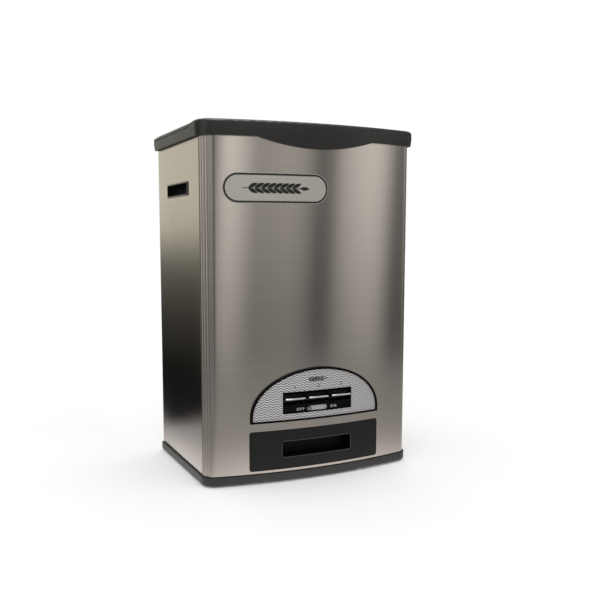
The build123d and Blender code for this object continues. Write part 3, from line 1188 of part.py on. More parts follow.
def drawer_front():
    """Bowed drawer front: a skin with a finger slot, edges that run back to the tub, and bosses."""
    mid_z = (DRAWER_Z0 + DRAWER_Z1) / 2
    height = DRAWER_Z1 - DRAWER_Z0
    outline = front_face(RectangleRounded(DRAWER_W, height, DRAWER_CORNER), 0, mid_z)
    edge = FRONT_EDGE
    core = front_face(RectangleRounded(DRAWER_W - 2 * edge, height - 2 * edge, DRAWER_CORNER - edge), 0, mid_z)
    skin = bowed(outline, -FRONT_T, 0.0)
    back = through(outline, FRONT_Y, TUB_FRONT_Y) - through(core, FRONT_Y - 1, TUB_FRONT_Y + 1)
    layer = Pos(0, BOW_Y, HIGH_Z / 2) * Cylinder(BOW_R - SMALL, HIGH_Z)
    front = skin + (back & layer)
    for x, z in drawer_screw_points():
        post = y_rod(x, (FRONT_Y + FRONT_T / 2, TUB_FRONT_Y), z, BOSS_R - 1)
        front += post & layer
        front -= y_rod(x, (TUB_FRONT_Y + TUB_T - DRAWER_SCREW - SMALL, TUB_FRONT_Y + 1), z, SCREW_R + SCREW_HOLE_GAP)
    slot = RectangleRounded(SLOT_W, SLOT_Z1 - SLOT_Z0, SLOT_R)
    return front - through(front_face(slot, 0, (SLOT_Z0 + SLOT_Z1) / 2), FRONT_Y - RIM_OUT, FRONT_Y + BOW)


def drawer_screw_points():
    x = SLOT_W / 2 + SCREW_BESIDE
    return [(s * x, z) for s in (-1, 1) for z in (DRAWER_Z0 + SCREW_LOW, DRAWER_Z1 - SCREW_HIGH)]


def drawer_screws():
    return group([screw(DRAWER_SCREW, (x, TUB_FRONT_Y + TUB_T, z), (0, -1, 0)) for x, z in drawer_screw_points()])


# ---------------------------------------------------------------- control panel
def window_face(grow):
    """The key window's opening in the front view, grown by grow."""
    size = (WINDOW_W + 2 * grow, WINDOW_Z1 - WINDOW_Z0 + 2 * grow)
    return front_face(Rectangle(*size), 0, (WINDOW_Z0 + WINDOW_Z1) / 2)


def panel_bezel():
    """Black D-shaped bezel: a raised rim on the steel, a floor in its opening, and a well."""
    rim = bowed(d_shape(0.0, 0.0), 0.0, RIM_PROUD) - through(d_shape(BEZEL_SIDE, BEZEL_FOOT), FRONT_Y - RIM_OUT, FRONT_Y + BOW)
    fit = OPENING_INSET + OPENING_GAP
    floor = bowed(d_shape(fit, fit), -BEZEL_FLOOR_IN, BEZEL_FLOOR_OUT)
    land = bowed(d_shape(0.0, 0.0), 0.0, BEZEL_FLOOR_OUT)
    bezel = rim + floor + land
    well_y = WINDOW_Y + WINDOW_T
    well = through(window_face(WELL_T), FRONT_Y, well_y)
    bezel += well & Pos(0, BOW_Y, HIGH_Z / 2) * Cylinder(BOW_R, HIGH_Z)
    bezel -= through(window_face(0.0), FRONT_Y - RIM_OUT, FRONT_Y + BOW)
    return bezel + bezel_hooks()


def bezel_hooks():
    """Snap hooks behind the steel, near the foot and the shoulders of the bezel."""
    hooks = []
    for x in (-HOOK_X, HOOK_X):
        foot = front_face(Rectangle(HOOK_W, HOOK_H), x, PANEL_Z0 + OPENING_INSET)
        hooks.append(bowed(foot, -BEZEL_FLOOR_IN, -SHEET - OPENING_GAP / 2))
        arch_z = PANEL_SPRING_Z + (PANEL_TOP_Z - PANEL_SPRING_Z) * sqrt(1 - (2 * x / PANEL_W) ** 2)
        top = front_face(Rectangle(HOOK_W, HOOK_TOP_H), x, arch_z - OPENING_INSET - HOOK_IN)
        hooks.append(bowed(top, -BEZEL_FLOOR_IN, -SHEET - OPENING_GAP / 2))
    joined = hooks[0]
    for hook in hooks[1:]:
        joined += hook
    return joined


def face_plate():
    """Thin silver plate inside the bezel's rim."""
    face = d_shape(BEZEL_SIDE + FACE_GAP, BEZEL_FOOT + FACE_GAP)
    plate = bowed(face, BEZEL_FLOOR_OUT, BEZEL_FLOOR_OUT + FACE_T)
    return plate - through(window_face(0.0), FRONT_Y - RIM_OUT, FRONT_Y + BOW)


def key_window():
    """Recessed black plate with three key slots, the slide switch's slot and its guides."""
    back = WINDOW_Y + WINDOW_T
    plate = through(window_face(-FIT / 2), WINDOW_Y, back)
    rear = back + WINDOW_FLANGE
    flange = through(window_face(WINDOW_FLANGE_W) - window_face(-DIVIDER_W / 2), back, rear)
    bar_x, bar_z = switch_bar_room()
    path = (bar_x[0] - SWITCH_BAR_GAP, bar_x[1] + SWITCH_TRAVEL + SWITCH_BAR_GAP)
    plate += flange - block(path, (back, rear), (0, bar_z[1]))
    slot_w = KEY_PITCH - DIVIDER_W
    for x in KEY_CENTRES:
        slot = Rectangle(slot_w, KEY_SLOT_Z1 - KEY_SLOT_Z0)
        plate -= through(front_face(slot, x, (KEY_SLOT_Z0 + KEY_SLOT_Z1) / 2), WINDOW_Y - 1, rear + 1)
    for x in (bar_x[0] + GUIDE_W / 2, 0, bar_x[1] + SWITCH_TRAVEL - GUIDE_W / 2):
        plate += switch_guide(x, bar_z, back)
    switch = SlotOverall(SWITCH_W, SWITCH_H)
    return plate - through(front_face(switch, 0, SWITCH_Z), WINDOW_Y - 1, back + SMALL)


def switch_bar_room():
    """Limits of the slide switch's bar at rest, along X and Z."""
    reach = SWITCH_W / 2 + SWITCH_BAR_OVER
    return (-reach - SWITCH_TRAVEL, reach), (SWITCH_Z - SWITCH_BAR_H / 2, SWITCH_Z + SWITCH_BAR_H / 2)


def switch_guide(x, bar_z, back):
    """Small hook that holds the top edge of the switch's bar against the window."""
    low, top = bar_z[1] + SWITCH_BAR_GAP, bar_z[1] + SWITCH_BAR_GAP + GUIDE_T
    room = back + 2 * SWITCH_BAR_GAP + SWITCH_BAR_T
    wide = (x - GUIDE_W / 2, x + GUIDE_W / 2)
    hook = block(wide, (back - SMALL, room + GUIDE_T), (low, top))
    return hook + block(wide, (room, room + GUIDE_T), (low - GUIDE_T, top))


def slide_switch():
    """Grey slide switch: a round knob on a bar behind the window, with three short lock tabs."""
    back = WINDOW_Y + WINDOW_T + SWITCH_BAR_GAP
    x, z = switch_bar_room()
    bar = block(x, (back, back + SWITCH_BAR_T), z)
    knob = y_rod(-SWITCH_TRAVEL / 2, (WINDOW_Y - SWITCH_KNOB_OUT, back + SMALL), SWITCH_Z, SWITCH_KNOB_R)
    bar += chamfer(knob.edges().group_by(Axis.Y)[0], SWITCH_KNOB_OUT / 4)
    for centre in (x[0] + LOCK_TAB_W, (x[0] + x[1]) / 2, x[1] - LOCK_TAB_W):
        tab = block((centre - LOCK_TAB_W / 2, centre + LOCK_TAB_W / 2),
                    (back + SWITCH_BAR_T - SMALL, back + SWITCH_BAR_T + LOCK_TAB_OUT), (z[0], z[0] + LOCK_TAB_H))
        bar += tab
    return bar


def badge_plate():
    """Plain stadium-shaped plate on the bowed front."""
    return bowed(front_face(SlotOverall(BADGE_W, BADGE_H), BADGE_X, BADGE_Z), 0.0, BADGE_T)


def hand_block(grow, x):
    """The outline of the hand cup's frame, grown by grow, between two limits of x."""
    face = RectangleRounded(HAND_W + 2 * grow, HAND_H + 2 * grow, HAND_R + grow)
    return side_carry(Pos(HAND_Y, HAND_Z) * face, x)


def hand_cup():
    """Right hand cup: a box that is pushed in from outside, with a frame on the steel and snap barbs behind it."""
    back, frame_x = SIDE_X - HAND_DEPTH, SIDE_X + HAND_FRAME
    fit = HAND_FRAME + HAND_HOLE_GAP
    frame = hand_block(0.0, (SIDE_X, frame_x))
    frame = fillet(frame.edges().group_by(Axis.X)[-1], HAND_FRAME / 2)
    cup = frame + hand_block(-fit, (back, SIDE_X + SMALL))
    inside, reach = SIDE_X - SHEET, HAND_H / 2 - HAND_FRAME + HAND_BARB
    barb = block((inside - HAND_BARB - 2 * HAND_HOLE_GAP, inside - 2 * HAND_HOLE_GAP),
                 (HAND_Y - HAND_BARB_W / 2, HAND_Y + HAND_BARB_W / 2), (HAND_Z - reach, HAND_Z + reach))
    return cup + barb - hand_block(-fit - HAND_CUP_T, (back + HAND_CUP_T, frame_x + 1))


# ---------------------------------------------------------------- build and write
def all_parts():
    """Every sub-part by its name."""
    parts = {
        "base_plinth": base_plinth(),
        "rubber_feet": rubber_feet(),
        "body_wrap": body_wrap(),
        "back_panel": back_panel(),
        "back_screws": back_screws(),
        "top_rim": top_rim(),
        "rim_screws": rim_screws(),
        "lid_panel": lid_panel(),
        "lid_seal": lid_seal(),
        "lid_hinge_pins": lid_hinge_pins(),
        "hopper": hopper(),
        "feed_throat": feed_throat(),
        "metering_housing": metering_housing(),
        "gate_shaft": gate_shaft(),
        "key_shaft": key_shaft(),
        "shaft_clips": shaft_clips(),
        "key_spacers": key_spacers(),
        "left_bracket": side_bracket(LEFT_BRACKET, -1),
        "right_bracket": side_bracket(RIGHT_BRACKET, 1),
        "mechanism_screws": mechanism_screws(),
        "bay_frame": bay_frame(),
        "bay_screws": bay_screws(),
        "discharge_chute": discharge_chute(),
        "right_drawer_rail": drawer_rail(),
        "left_drawer_rail": mirrored(drawer_rail()),
        "drawer_tub": drawer_tub(),
        "drawer_front": drawer_front(),
        "finger_cup": finger_cup(),
        "drawer_screws": drawer_screws(),
        "panel_bezel": panel_bezel(),
        "face_plate": face_plate(),
        "key_window": key_window(),
        "slide_switch": slide_switch(),
        "badge_plate": badge_plate(),
        "right_hand_cup": hand_cup(),
        "left_hand_cup": mirrored(hand_cup()),
    }
    for index, lane in enumerate(LANES):
        parts[f"gate_rocker_{index + 1}"] = gate_rocker(lane)
        parts[f"measuring_key_{index + 1}"] = measuring_key(index)
        parts[f"key_spring_{index + 1}"] = key_spring(index)
    return parts


os.makedirs("parts", exist_ok=True)
for name, shape in all_parts().items():
    export_step(shape, f"parts/{name}.step")

print(f"key travel {KEY_TURN:.2f} deg, gate travel {GATE_TURN:.2f} deg, ratio {-GATE_TURN / KEY_TURN:.5f}")
print(f"least gap between a spring's turns {spring_gap():.3f} mm")
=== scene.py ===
import bpy
import bmesh
import json
from math import asin, atan2, cos, pi, radians, sin, sqrt
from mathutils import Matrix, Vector


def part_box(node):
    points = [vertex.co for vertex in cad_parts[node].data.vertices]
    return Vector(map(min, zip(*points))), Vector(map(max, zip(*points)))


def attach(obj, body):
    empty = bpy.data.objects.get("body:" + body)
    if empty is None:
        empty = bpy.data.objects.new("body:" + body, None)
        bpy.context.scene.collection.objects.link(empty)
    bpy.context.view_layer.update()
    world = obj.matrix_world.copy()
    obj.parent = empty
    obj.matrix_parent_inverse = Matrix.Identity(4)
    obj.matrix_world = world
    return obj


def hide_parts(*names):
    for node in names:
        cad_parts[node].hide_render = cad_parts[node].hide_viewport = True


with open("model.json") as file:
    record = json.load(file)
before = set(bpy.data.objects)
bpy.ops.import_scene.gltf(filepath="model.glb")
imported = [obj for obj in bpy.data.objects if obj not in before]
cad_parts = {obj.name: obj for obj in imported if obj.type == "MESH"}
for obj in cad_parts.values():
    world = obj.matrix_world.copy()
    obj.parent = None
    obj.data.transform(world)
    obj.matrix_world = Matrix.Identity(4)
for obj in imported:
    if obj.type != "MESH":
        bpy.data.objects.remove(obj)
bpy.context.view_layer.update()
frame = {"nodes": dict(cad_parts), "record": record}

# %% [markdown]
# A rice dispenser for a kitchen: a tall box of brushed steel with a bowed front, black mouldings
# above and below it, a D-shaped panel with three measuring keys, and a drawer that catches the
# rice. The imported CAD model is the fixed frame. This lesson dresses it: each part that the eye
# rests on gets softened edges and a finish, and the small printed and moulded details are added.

MM = 0.001
WELD = 0.002 * MM           # points that lie closer than this are one point
SEAM = 0.01 * MM            # the same for the sheet, whose arcs only nearly meet
ORIGIN = (0, 0, 0)

# %% [markdown]
# Everything is measured from the steel body. The sizes of its bow, its corners and its beads aren't
# in a bounding box, so they are written here once, in millimetres times MM.

# %% Sizes of the steel body
STEEL_LOW, STEEL_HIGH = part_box("body_wrap")
SIDE, FRONT, REAR = STEEL_HIGH.x, STEEL_LOW.y, STEEL_HIGH.y
BOW = 19.6 * MM             # how far the front bows past its corners
CORNER = 18.0 * MM          # front corners, seen from above
REAR_CORNER = 3.0 * MM
SHEET = 1.2 * MM
BOW_R = (SIDE ** 2 + BOW ** 2) / (2 * BOW)
BOW_Y = FRONT + BOW_R
CORNER_X = SIDE - CORNER
CORNER_Y = BOW_Y - sqrt((BOW_R - CORNER) ** 2 - CORNER_X ** 2)
CORNER_TURN = atan2(CORNER_X, BOW_Y - CORNER_Y)
print(f"bow radius {BOW_R:.3f} m, steel from {STEEL_LOW.z:.4f} to {STEEL_HIGH.z:.4f} m high")


def on_front(x, out=0.0):
    """How far forward the bowed front lies at x, with something standing out on it."""
    return BOW_Y - sqrt((BOW_R + out) ** 2 - x ** 2)

# %% [markdown]
# In Blender, an operator works on whatever is selected. So before each step everything is
# deselected, and then the faces, edges or points that the step needs are picked by their place.

# %% Picking and placing
SELECT_MODES = {"verts": "VERT", "edges": "EDGE", "faces": "FACE"}


def leave():
    """Back to object mode with nothing selected."""
    if bpy.context.object and bpy.context.object.mode == "EDIT":
        bpy.ops.object.mode_set(mode="OBJECT")
    bpy.ops.object.select_all(action="DESELECT")


def take(piece):
    """Makes a piece the only selected one."""
    leave()
    bpy.context.view_layer.objects.active = piece
    piece.select_set(True)
    return piece


def edit(piece):
    """Opens a piece in edit mode with nothing selected."""
    take(piece)
    bpy.ops.object.mode_set(mode="EDIT")
    bpy.ops.mesh.select_all(action="DESELECT")
    return piece


def edit_all(piece):
    """Opens a piece in edit mode with everything selected."""
    edit(piece)
    bpy.ops.mesh.select_all(action="SELECT")
    return piece


def start(add, name, **shape):
    """Adds a primitive under a name and opens it in edit mode with everything selected."""
    leave()
    add(**shape)
    piece = bpy.context.object
    piece.name = piece.data.name = name
    return edit_all(piece)


def fix_place(piece):
    """Puts a piece's place, turn and size into its mesh."""
    take(piece)
    bpy.ops.object.transform_apply(location=True, rotation=True, scale=True)


def pick(piece, kind, test):
    """Selects the verts, edges or faces of the open piece whose middle passes a test."""
    bpy.ops.mesh.select_all(action="DESELECT")
    bpy.ops.mesh.select_mode(type=SELECT_MODES[kind])
    mesh = bmesh.from_edit_mesh(piece.data)
    found = 0
    for part in getattr(mesh, kind):
        corners = [part.co] if kind == "verts" else [v.co for v in part.verts]
        middle = sum(corners, Vector()) / len(corners)
        if test(part, middle):
            part.select_set(True)
            found += 1
    mesh.select_flush_mode()
    bmesh.update_edit_mesh(piece.data)
    return found


def modify(piece, kind, **settings):
    """Adds a modifier, sets it and applies it."""
    take(piece)
    modifier = piece.modifiers.new(kind.lower(), kind)
    for name, value in settings.items():
        setattr(modifier, name, value)
    bpy.ops.object.modifier_apply(modifier=modifier.name)
    return piece


def combine(piece, operation, tool):
    """Cuts a piece with another or keeps what they share, and clears the other away."""
    modify(piece, "BOOLEAN", operation=operation, object=tool, solver="EXACT")
    bpy.data.objects.remove(tool)


def settle(piece, body, finish, replaces=None, smooth=35.0):
    """Fixes a finished piece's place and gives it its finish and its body."""
    fix_place(piece)
    bpy.ops.object.shade_smooth_by_angle(angle=radians(smooth))
    piece.data.materials.clear()
    piece.data.materials.append(finish)
    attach(piece, body)
    if replaces:
        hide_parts(replaces)
    print(f"{piece.name}: {len(piece.data.polygons)} faces on {body}")
    return piece

# %% [markdown]
# Real materials aren't one flat colour. A moulding has a fine grain, steel shows the lines of its
# brushing, and light breaks a little on both. Such patterns are shader nodes. Written out one by
# one they are hard to read, so one small class lets a socket be used like a number, and another
# makes any node in one call.

# %% Shader sums
class Signal:
    """A shader socket that can be used in sums."""

    def __init__(self, finish, socket):
        self.finish, self.socket = finish, socket

    def sum(self, operation, first, second=None):
        inputs = {0: first} if second is None else {0: first, 1: second}
        return self.finish.node("ShaderNodeMath", {"operation": operation}, inputs)

    def __add__(self, other):
        return self.sum("ADD", self, other)

    def __radd__(self, other):
        return self.sum("ADD", other, self)

    def __sub__(self, other):
        return self.sum("SUBTRACT", self, other)

    def __rsub__(self, other):
        return self.sum("SUBTRACT", other, self)

    def __mul__(self, other):
        return self.sum("MULTIPLY", self, other)

    def __truediv__(self, other):
        return self.sum("DIVIDE", self, other)

    def under(self, limit):
        return self.sum("LESS_THAN", self, limit)

    def size(self):
        return self.sum("ABSOLUTE", self)

    def apply(self, operation, other=None):
        return self.sum(operation, self, other)


class Finish:
    """A material whose nodes are made one call at a time."""

    def __init__(self, name):
        self.material = bpy.data.materials.new(name)
        self.material.use_nodes = True
        self.tree = self.material.node_tree
        self.tree.nodes.clear()
        self.place = self.node("ShaderNodeTexCoord", {}, {}, "Object")

    def node(self, kind, settings, inputs, output=0):
        """Makes a node. Inputs are signals or plain values, and stops belong to a ramp."""
        node = self.tree.nodes.new(kind)
        for name, value in settings.items():
            if name == "stops":
                ramp = node.color_ramp.elements
                ramp.remove(ramp[0])
                for number, (spot, grey) in enumerate(value):
                    stop = ramp.new(spot) if number else ramp[0]
                    stop.position, stop.color = spot, (grey, grey, grey, 1)
            else:
                setattr(node, name, value)
        for name, value in inputs.items():
            if isinstance(value, Signal):
                self.tree.links.new(value.socket, node.inputs[name])
            else:
                node.inputs[name].default_value = value
        return Signal(self, node.outputs[output])

    def axis(self, name):
        parts = self.node("ShaderNodeSeparateXYZ", {}, {0: self.place})
        return Signal(self, parts.socket.node.outputs[name])

    def noise(self, stretch, detail=2.0, roughness=0.5):
        """Noise whose grains are one unit over stretch wide along each axis."""
        spread = self.node("ShaderNodeVectorMath", {"operation": "MULTIPLY"},
                           {0: self.place, 1: stretch})
        return self.node("ShaderNodeTexNoise", {},
                         {"Vector": spread, "Scale": 1.0, "Detail": detail,
                          "Roughness": roughness})

    def blend(self, share, low, high):
        return self.node("ShaderNodeMix", {"data_type": "RGBA"}, {0: share, 6: low, 7: high}, 2)

    def bump(self, height, depth):
        return self.node("ShaderNodeBump", {},
                         {"Height": height, "Distance": depth, "Strength": 1.0})

    def end_in(self, surface):
        """Ends the material in a shader."""
        end = self.tree.nodes.new("ShaderNodeOutputMaterial")
        self.tree.links.new(surface.socket, end.inputs["Surface"])
        return self.material

    def cover(self, **sockets):
        """Ends the material in one Principled shader. Underscores stand for spaces."""
        named = {name.replace("_", " "): value for name, value in sockets.items()}
        return self.end_in(self.node("ShaderNodeBsdfPrincipled", {}, named))


def tint(colour, share):
    """A colour made lighter or darker by a share."""
    return tuple(min(1.0, c * share) for c in colour) + (1.0,)

# %% [markdown]
# **Moulded plastic.** Black mouldings of kitchen goods come out of a spark-eroded mould, so their
# skin has a grain of a few tenths of a millimetre that dulls the gloss. A noise gives the grain, a
# second, larger one the cloudy difference in gloss that handling leaves.

# %% Moulded plastic
CLOUDS = 22.0               # clouds of gloss in a metre
MOULD_DARK, MOULD_PALE = 0.86, 1.14


def moulding(name, colour, roughness, grain=0.5, depth=0.02, shine=0.5):
    """A plastic with a grain and its depth in millimetres."""
    skin = Finish(name)
    fine = skin.noise((1 / (grain * MM),) * 3, 2.0)
    cloud = skin.noise((CLOUDS,) * 3, 3.0)
    shade = skin.blend(cloud * 0.7 + fine * 0.3, tint(colour, MOULD_DARK),
                       tint(colour, MOULD_PALE))
    gloss = roughness - 0.06 + cloud * 0.08 + fine * 0.04
    return skin.cover(Base_Color=shade, Roughness=gloss, Specular_IOR_Level=shine,
                      Normal=skin.bump(fine, depth * MM))


black_mould = moulding("black_mould", (0.0105, 0.0102, 0.0095), 0.36, 0.45, 0.03, 0.55)
base_mould = moulding("base_mould", (0.021, 0.021, 0.020), 0.42, 0.6, 0.05)
lid_mould = moulding("lid_mould", (0.018, 0.0175, 0.0165), 0.34, 0.45, 0.03, 0.6)
drawer_mould = moulding("drawer_mould", (0.0085, 0.0085, 0.0083), 0.42, 0.4, 0.02, 0.25)
cup_mould = moulding("cup_mould", (0.003, 0.003, 0.003), 0.5, shine=0.2)
cup_gloss = moulding("cup_gloss", (0.004, 0.004, 0.004), 0.22, 0.5, 0.01, 0.8)
gloss_black = moulding("gloss_black", (0.0015, 0.0015, 0.0015), 0.22, 1.5, 0.003, 0.12)
key_black = moulding("key_black", (0.002, 0.002, 0.002), 0.18, 1.2, 0.004, 0.25)
rail_mould = moulding("rail_mould", (0.22, 0.22, 0.22), 0.4, 0.5, 0.015)
rocker_mould = moulding("rocker_mould", (0.24, 0.30, 0.36), 0.38, 0.5, 0.012)
throat_mould = moulding("throat_mould", (0.62, 0.62, 0.60), 0.4, 0.5, 0.012)
hopper_mould = moulding("hopper_mould", (0.74, 0.73, 0.69), 0.4, 0.6, 0.015)
tub_mould = moulding("tub_mould", (0.56, 0.56, 0.54), 0.38, 0.5, 0.012)
rubber_mould = moulding("rubber_mould", (0.03, 0.03, 0.03), 0.75, 0.7, 0.04)
seal_mould = moulding("seal_mould", (0.34, 0.34, 0.33), 0.6, 0.6, 0.02)
print("the mouldings are mixed")

# %% [markdown]
# **Brushed steel.** A belt draws fine lines along the sheet, here level, round the body. Along the
# lines the steel is smooth and across them it is rough, so a reflection smears upwards and
# downwards into tall bands. Lines come from a noise that is stretched along x and y and tight along
# z, and the smear from the shader's anisotropy, turned a quarter so that it runs across the lines.

# %% Brushed steel
FINE_ALONG, BROAD_ALONG = 14.0, 5.0     # lines that end in a metre, along the brushing
BRUSH_DEPTH = 0.006 * MM
QUARTER_TURN = 0.25


def brushed(name, colour, roughness, lines=2600.0, anisotropic=0.75):
    """A steel with so many brushed lines in a metre."""
    steel = Finish(name)
    fine = steel.noise((FINE_ALONG, FINE_ALONG, lines), 4.0, 0.6)
    broad = steel.noise((BROAD_ALONG, BROAD_ALONG, lines / 6), 2.0)
    shade = steel.blend(fine * 0.65 + broad * 0.35, tint(colour, 0.90), tint(colour, 1.10))
    return steel.cover(Base_Color=shade, Metallic=1.0, Roughness=roughness - 0.04 + fine * 0.08,
                       Anisotropic=anisotropic, Anisotropic_Rotation=QUARTER_TURN,
                       Normal=steel.bump(fine, BRUSH_DEPTH))


shell_steel = brushed("shell_steel", (0.57, 0.53, 0.485), 0.17, anisotropic=0.8)
back_steel = brushed("back_steel", (0.52, 0.50, 0.47), 0.38, 1800.0)
print("two steels brushed")

# %% [markdown]
# **Bright and plated metal.** Screws and clips are plated with bright zinc and folded brackets with
# dull zinc, whose crystals show as pale and dark flecks: cells of a Voronoi pattern. Ground shafts,
# springs and bright trim have much smaller flecks, too small to tell apart.

# %% Bright and plated metal
HAZE = 60.0                 # clouds in a metre


def plated(name, colour, roughness, fleck, contrast):
    """A metal with flecks of a size in millimetres."""
    zinc = Finish(name)
    cells = zinc.node("ShaderNodeTexVoronoi", {},
                      {"Vector": zinc.place, "Scale": 1 / (fleck * MM)}, "Color")
    level = zinc.node("ShaderNodeSeparateColor", {}, {0: cells})
    haze = zinc.noise((HAZE,) * 3, 2.0)
    shade = zinc.blend(level * 0.6 + haze * 0.4, tint(colour, 1 - contrast),
                       tint(colour, 1 + contrast))
    return zinc.cover(Base_Color=shade, Metallic=1.0,
                      Roughness=roughness + (level - 0.5) * 0.08)


screw_zinc = plated("screw_zinc", (0.62, 0.62, 0.60), 0.28, 0.6, 0.08)
sheet_zinc = plated("sheet_zinc", (0.52, 0.53, 0.54), 0.42, 2.4, 0.12)
ground_steel = plated("ground_steel", (0.62, 0.62, 0.62), 0.18, 0.3, 0.04)
spring_steel = plated("spring_steel", (0.46, 0.46, 0.46), 0.25, 0.3, 0.06)
print("four plated metals mixed")

# %% [markdown]
# **Printed silver face.** The plate round the keys is silver with rows of small waves, a pattern as
# old as woven cloth. A row is a distance from the middle of a strip of z, and the strip's middle
# moves up and down with the sine of x.

# %% Printed silver face
WAVE_ROW, WAVE_LENGTH, WAVE_RISE = 3.5 * MM, 8.0 * MM, 0.95 * MM
WAVE_EDGE = [(0.34, 1.0), (0.46, 0.0)]
SPECKS = 3000.0             # in a metre


def waves(finish):
    """1 on the printed rows of waves and 0 between them."""
    swing = (finish.axis("X") * (2 * pi / WAVE_LENGTH)).apply("SINE") * WAVE_RISE
    row = ((finish.axis("Z") + swing) / WAVE_ROW).apply("FRACT")
    return finish.node("ShaderNodeValToRGB", {"stops": WAVE_EDGE}, {0: (row - 0.5).size() * 2})


face = Finish("silver_print")
ink, speck = waves(face), face.noise((SPECKS,) * 3, 2.0)
silver = face.blend(speck, (0.48, 0.47, 0.47, 1), (0.55, 0.54, 0.54, 1))
printed = face.blend(ink, silver, (0.07, 0.067, 0.07, 1))
silver_print = face.cover(Base_Color=printed, Metallic=0.1, Roughness=0.5 + ink * 0.1,
                          Specular_IOR_Level=0.25, Normal=face.bump(speck, 0.004 * MM))
print(f"waves {WAVE_LENGTH / MM:.1f} mm long, a row each {WAVE_ROW / MM:.1f} mm")

# %% [markdown]
# **A plain plate.** The plate on the front is pale metal with the same waves, fainter, and a dark
# line round its border. The line is drawn by distance: a point's distance from the plate's middle
# stretch, taken from half its height, is how far inside the edge the point lies.

# %% Plain plate
PLATE_LOW, PLATE_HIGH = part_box("badge_plate")
PLATE_X, PLATE_Z = (PLATE_LOW.x + PLATE_HIGH.x) / 2, (PLATE_LOW.z + PLATE_HIGH.z) / 2
PLATE_H = PLATE_HIGH.z - PLATE_LOW.z
PLATE_REACH = (PLATE_HIGH.x - PLATE_LOW.x - PLATE_H) / 2
LINE_IN, LINE_HALF = 2.1 * MM, 1.35 * MM
FAINT = 0.35                # how strong the waves are on the plate
plate = Finish("plain_plate")
beside = ((plate.axis("X") - PLATE_X).size() - PLATE_REACH).apply("MAXIMUM", 0.0)
above = plate.axis("Z") - PLATE_Z
inside = PLATE_H / 2 - (beside * beside + above * above).apply("SQRT")
border = (inside - LINE_IN).size().under(LINE_HALF)
grain = plate.noise((20.0, 20.0, 1500.0), 3.0)
metal = plate.blend(grain, (0.47, 0.45, 0.40, 1), (0.56, 0.54, 0.48, 1))
printed = plate.blend(waves(plate) * FAINT, metal, (0.22, 0.21, 0.19, 1))
coloured = plate.blend(border, printed, (0.012, 0.012, 0.012, 1))
plain_plate = plate.cover(Base_Color=coloured, Metallic=0.6 - border * 0.6,
                          Roughness=0.34 + grain * 0.08, Normal=plate.bump(grain, 0.003 * MM))
print(f"plate {2 * PLATE_REACH / MM + PLATE_H / MM:.0f} x {PLATE_H / MM:.0f} mm")

# %% [markdown]
# ** Switch, trims, ink and painted highlights.** The slide switch is one moulding: a pale bar behind
# the window and a darker knob that stands out of it, so its colour turns where it comes forward.
# Each key gets a bright metal bar along its lip, a painted highlight for the white line of light on
# the glossy lip, and the drawer's slot has a thin grey edge.

# %% Switch, trims, ink and painted highlights
WINDOW_LOW, WINDOW_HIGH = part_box("key_window")
WINDOW_Y = WINDOW_LOW.y
KNOB_FROM = WINDOW_Y + 1.0 * MM
slide = Finish("switch_mould")
knob_share = slide.axis("Y").under(KNOB_FROM)
fine = slide.noise((2500.0,) * 3, 2.0)
bar_grey = slide.blend(fine, (0.40, 0.40, 0.39, 1), (0.46, 0.46, 0.45, 1))
knob_grey = slide.blend(fine, (0.15, 0.15, 0.15, 1), (0.19, 0.19, 0.19, 1))
switch_mould = slide.cover(Base_Color=slide.blend(knob_share, bar_grey, knob_grey),
                           Roughness=0.34 + fine * 0.06, Normal=slide.bump(fine, 0.01 * MM))
# Bright plated metal for the bars on the key lips: a painted highlight for the line of light on
# each lip.
highlight_bar_metal = plated("highlight_bar_metal", (0.86, 0.86, 0.85), 0.16, 0.4, 0.03)
slot_trim = moulding("slot_trim", (0.06, 0.06, 0.058), 0.35, 0.5, 0.01)
dark_ink = moulding("dark_ink", (0.010, 0.010, 0.010), 0.5, 0.3, 0.004, 0.3)
pale_ink = moulding("pale_ink", (0.34, 0.34, 0.33), 0.5, 0.3, 0.004, 0.3)
print("switch, trims and inks mixed")

# %% [markdown]
# Each CAD part now gets the finish of its material slot. The record lists which part belongs to
# which slot, so the table below only joins slots to finishes.

# %% Finishes for the CAD parts
FINISHES = {
    "black_plastic": black_mould, "lid_plastic": lid_mould, "rubber": rubber_mould,
    "brushed_steel": shell_steel, "back_steel": back_steel, "screw_steel": screw_zinc,
    "soft_seal": seal_mould, "shaft_steel": ground_steel, "hopper_plastic": hopper_mould,
    "throat_plastic": throat_mould, "zinc_steel": sheet_zinc, "rail_plastic": rail_mould,
    "tub_plastic": tub_mould, "drawer_plastic": drawer_mould, "dark_plastic": cup_mould,
    "bezel_plastic": gloss_black, "silver_face": silver_print, "grey_plastic": switch_mould,
    "badge_metal": plain_plate, "rocker_plastic": rocker_mould, "key_plastic": key_black,
    "spring_steel": spring_steel,
}
RECORD = frame["record"]
SLOTS = {part["node"]: part["material_slot"] for part in RECORD["subparts"]}
BODIES = {node: body for body, nodes in RECORD["behaviour"]["bodies"].items() for node in nodes}
for node, slot in SLOTS.items():
    slots = frame["nodes"][node].data.materials
    slots.clear()
    slots.append(FINISHES[slot])
print(len(SLOTS), "parts finished")

# %% [markdown]
# **The steel body** could be bevelled from a box, but its plan is a row of arcs: the bow, three
# beads on each front corner, and a tight rear corner. So it is drawn the way a sheet is bent. One
# upright edge stands at the middle of the front, and each spin carries it round the next centre.

# %% One upright edge
BEAD, BEAD_IN = 2.5 * MM, 1.5 * MM      # a bead's radius and how deep the grooves beside it are
BEAD_STEP, BEAD_FIRST = radians(18.0), radians(45.5 - 90.0)
GROOVE = CORNER - BEAD_IN
BEAD_ARM = CORNER - BEAD
LEAN = (GROOVE ** 2 - BEAD_ARM ** 2 - BEAD ** 2) / (2 * BEAD_ARM * BEAD)
BEAD_HALF = pi / 2 - asin(LEAN)
GROOVE_HALF = asin(BEAD * sin(BEAD_HALF) / GROOVE)
TALL = STEEL_HIGH.z - STEEL_LOW.z

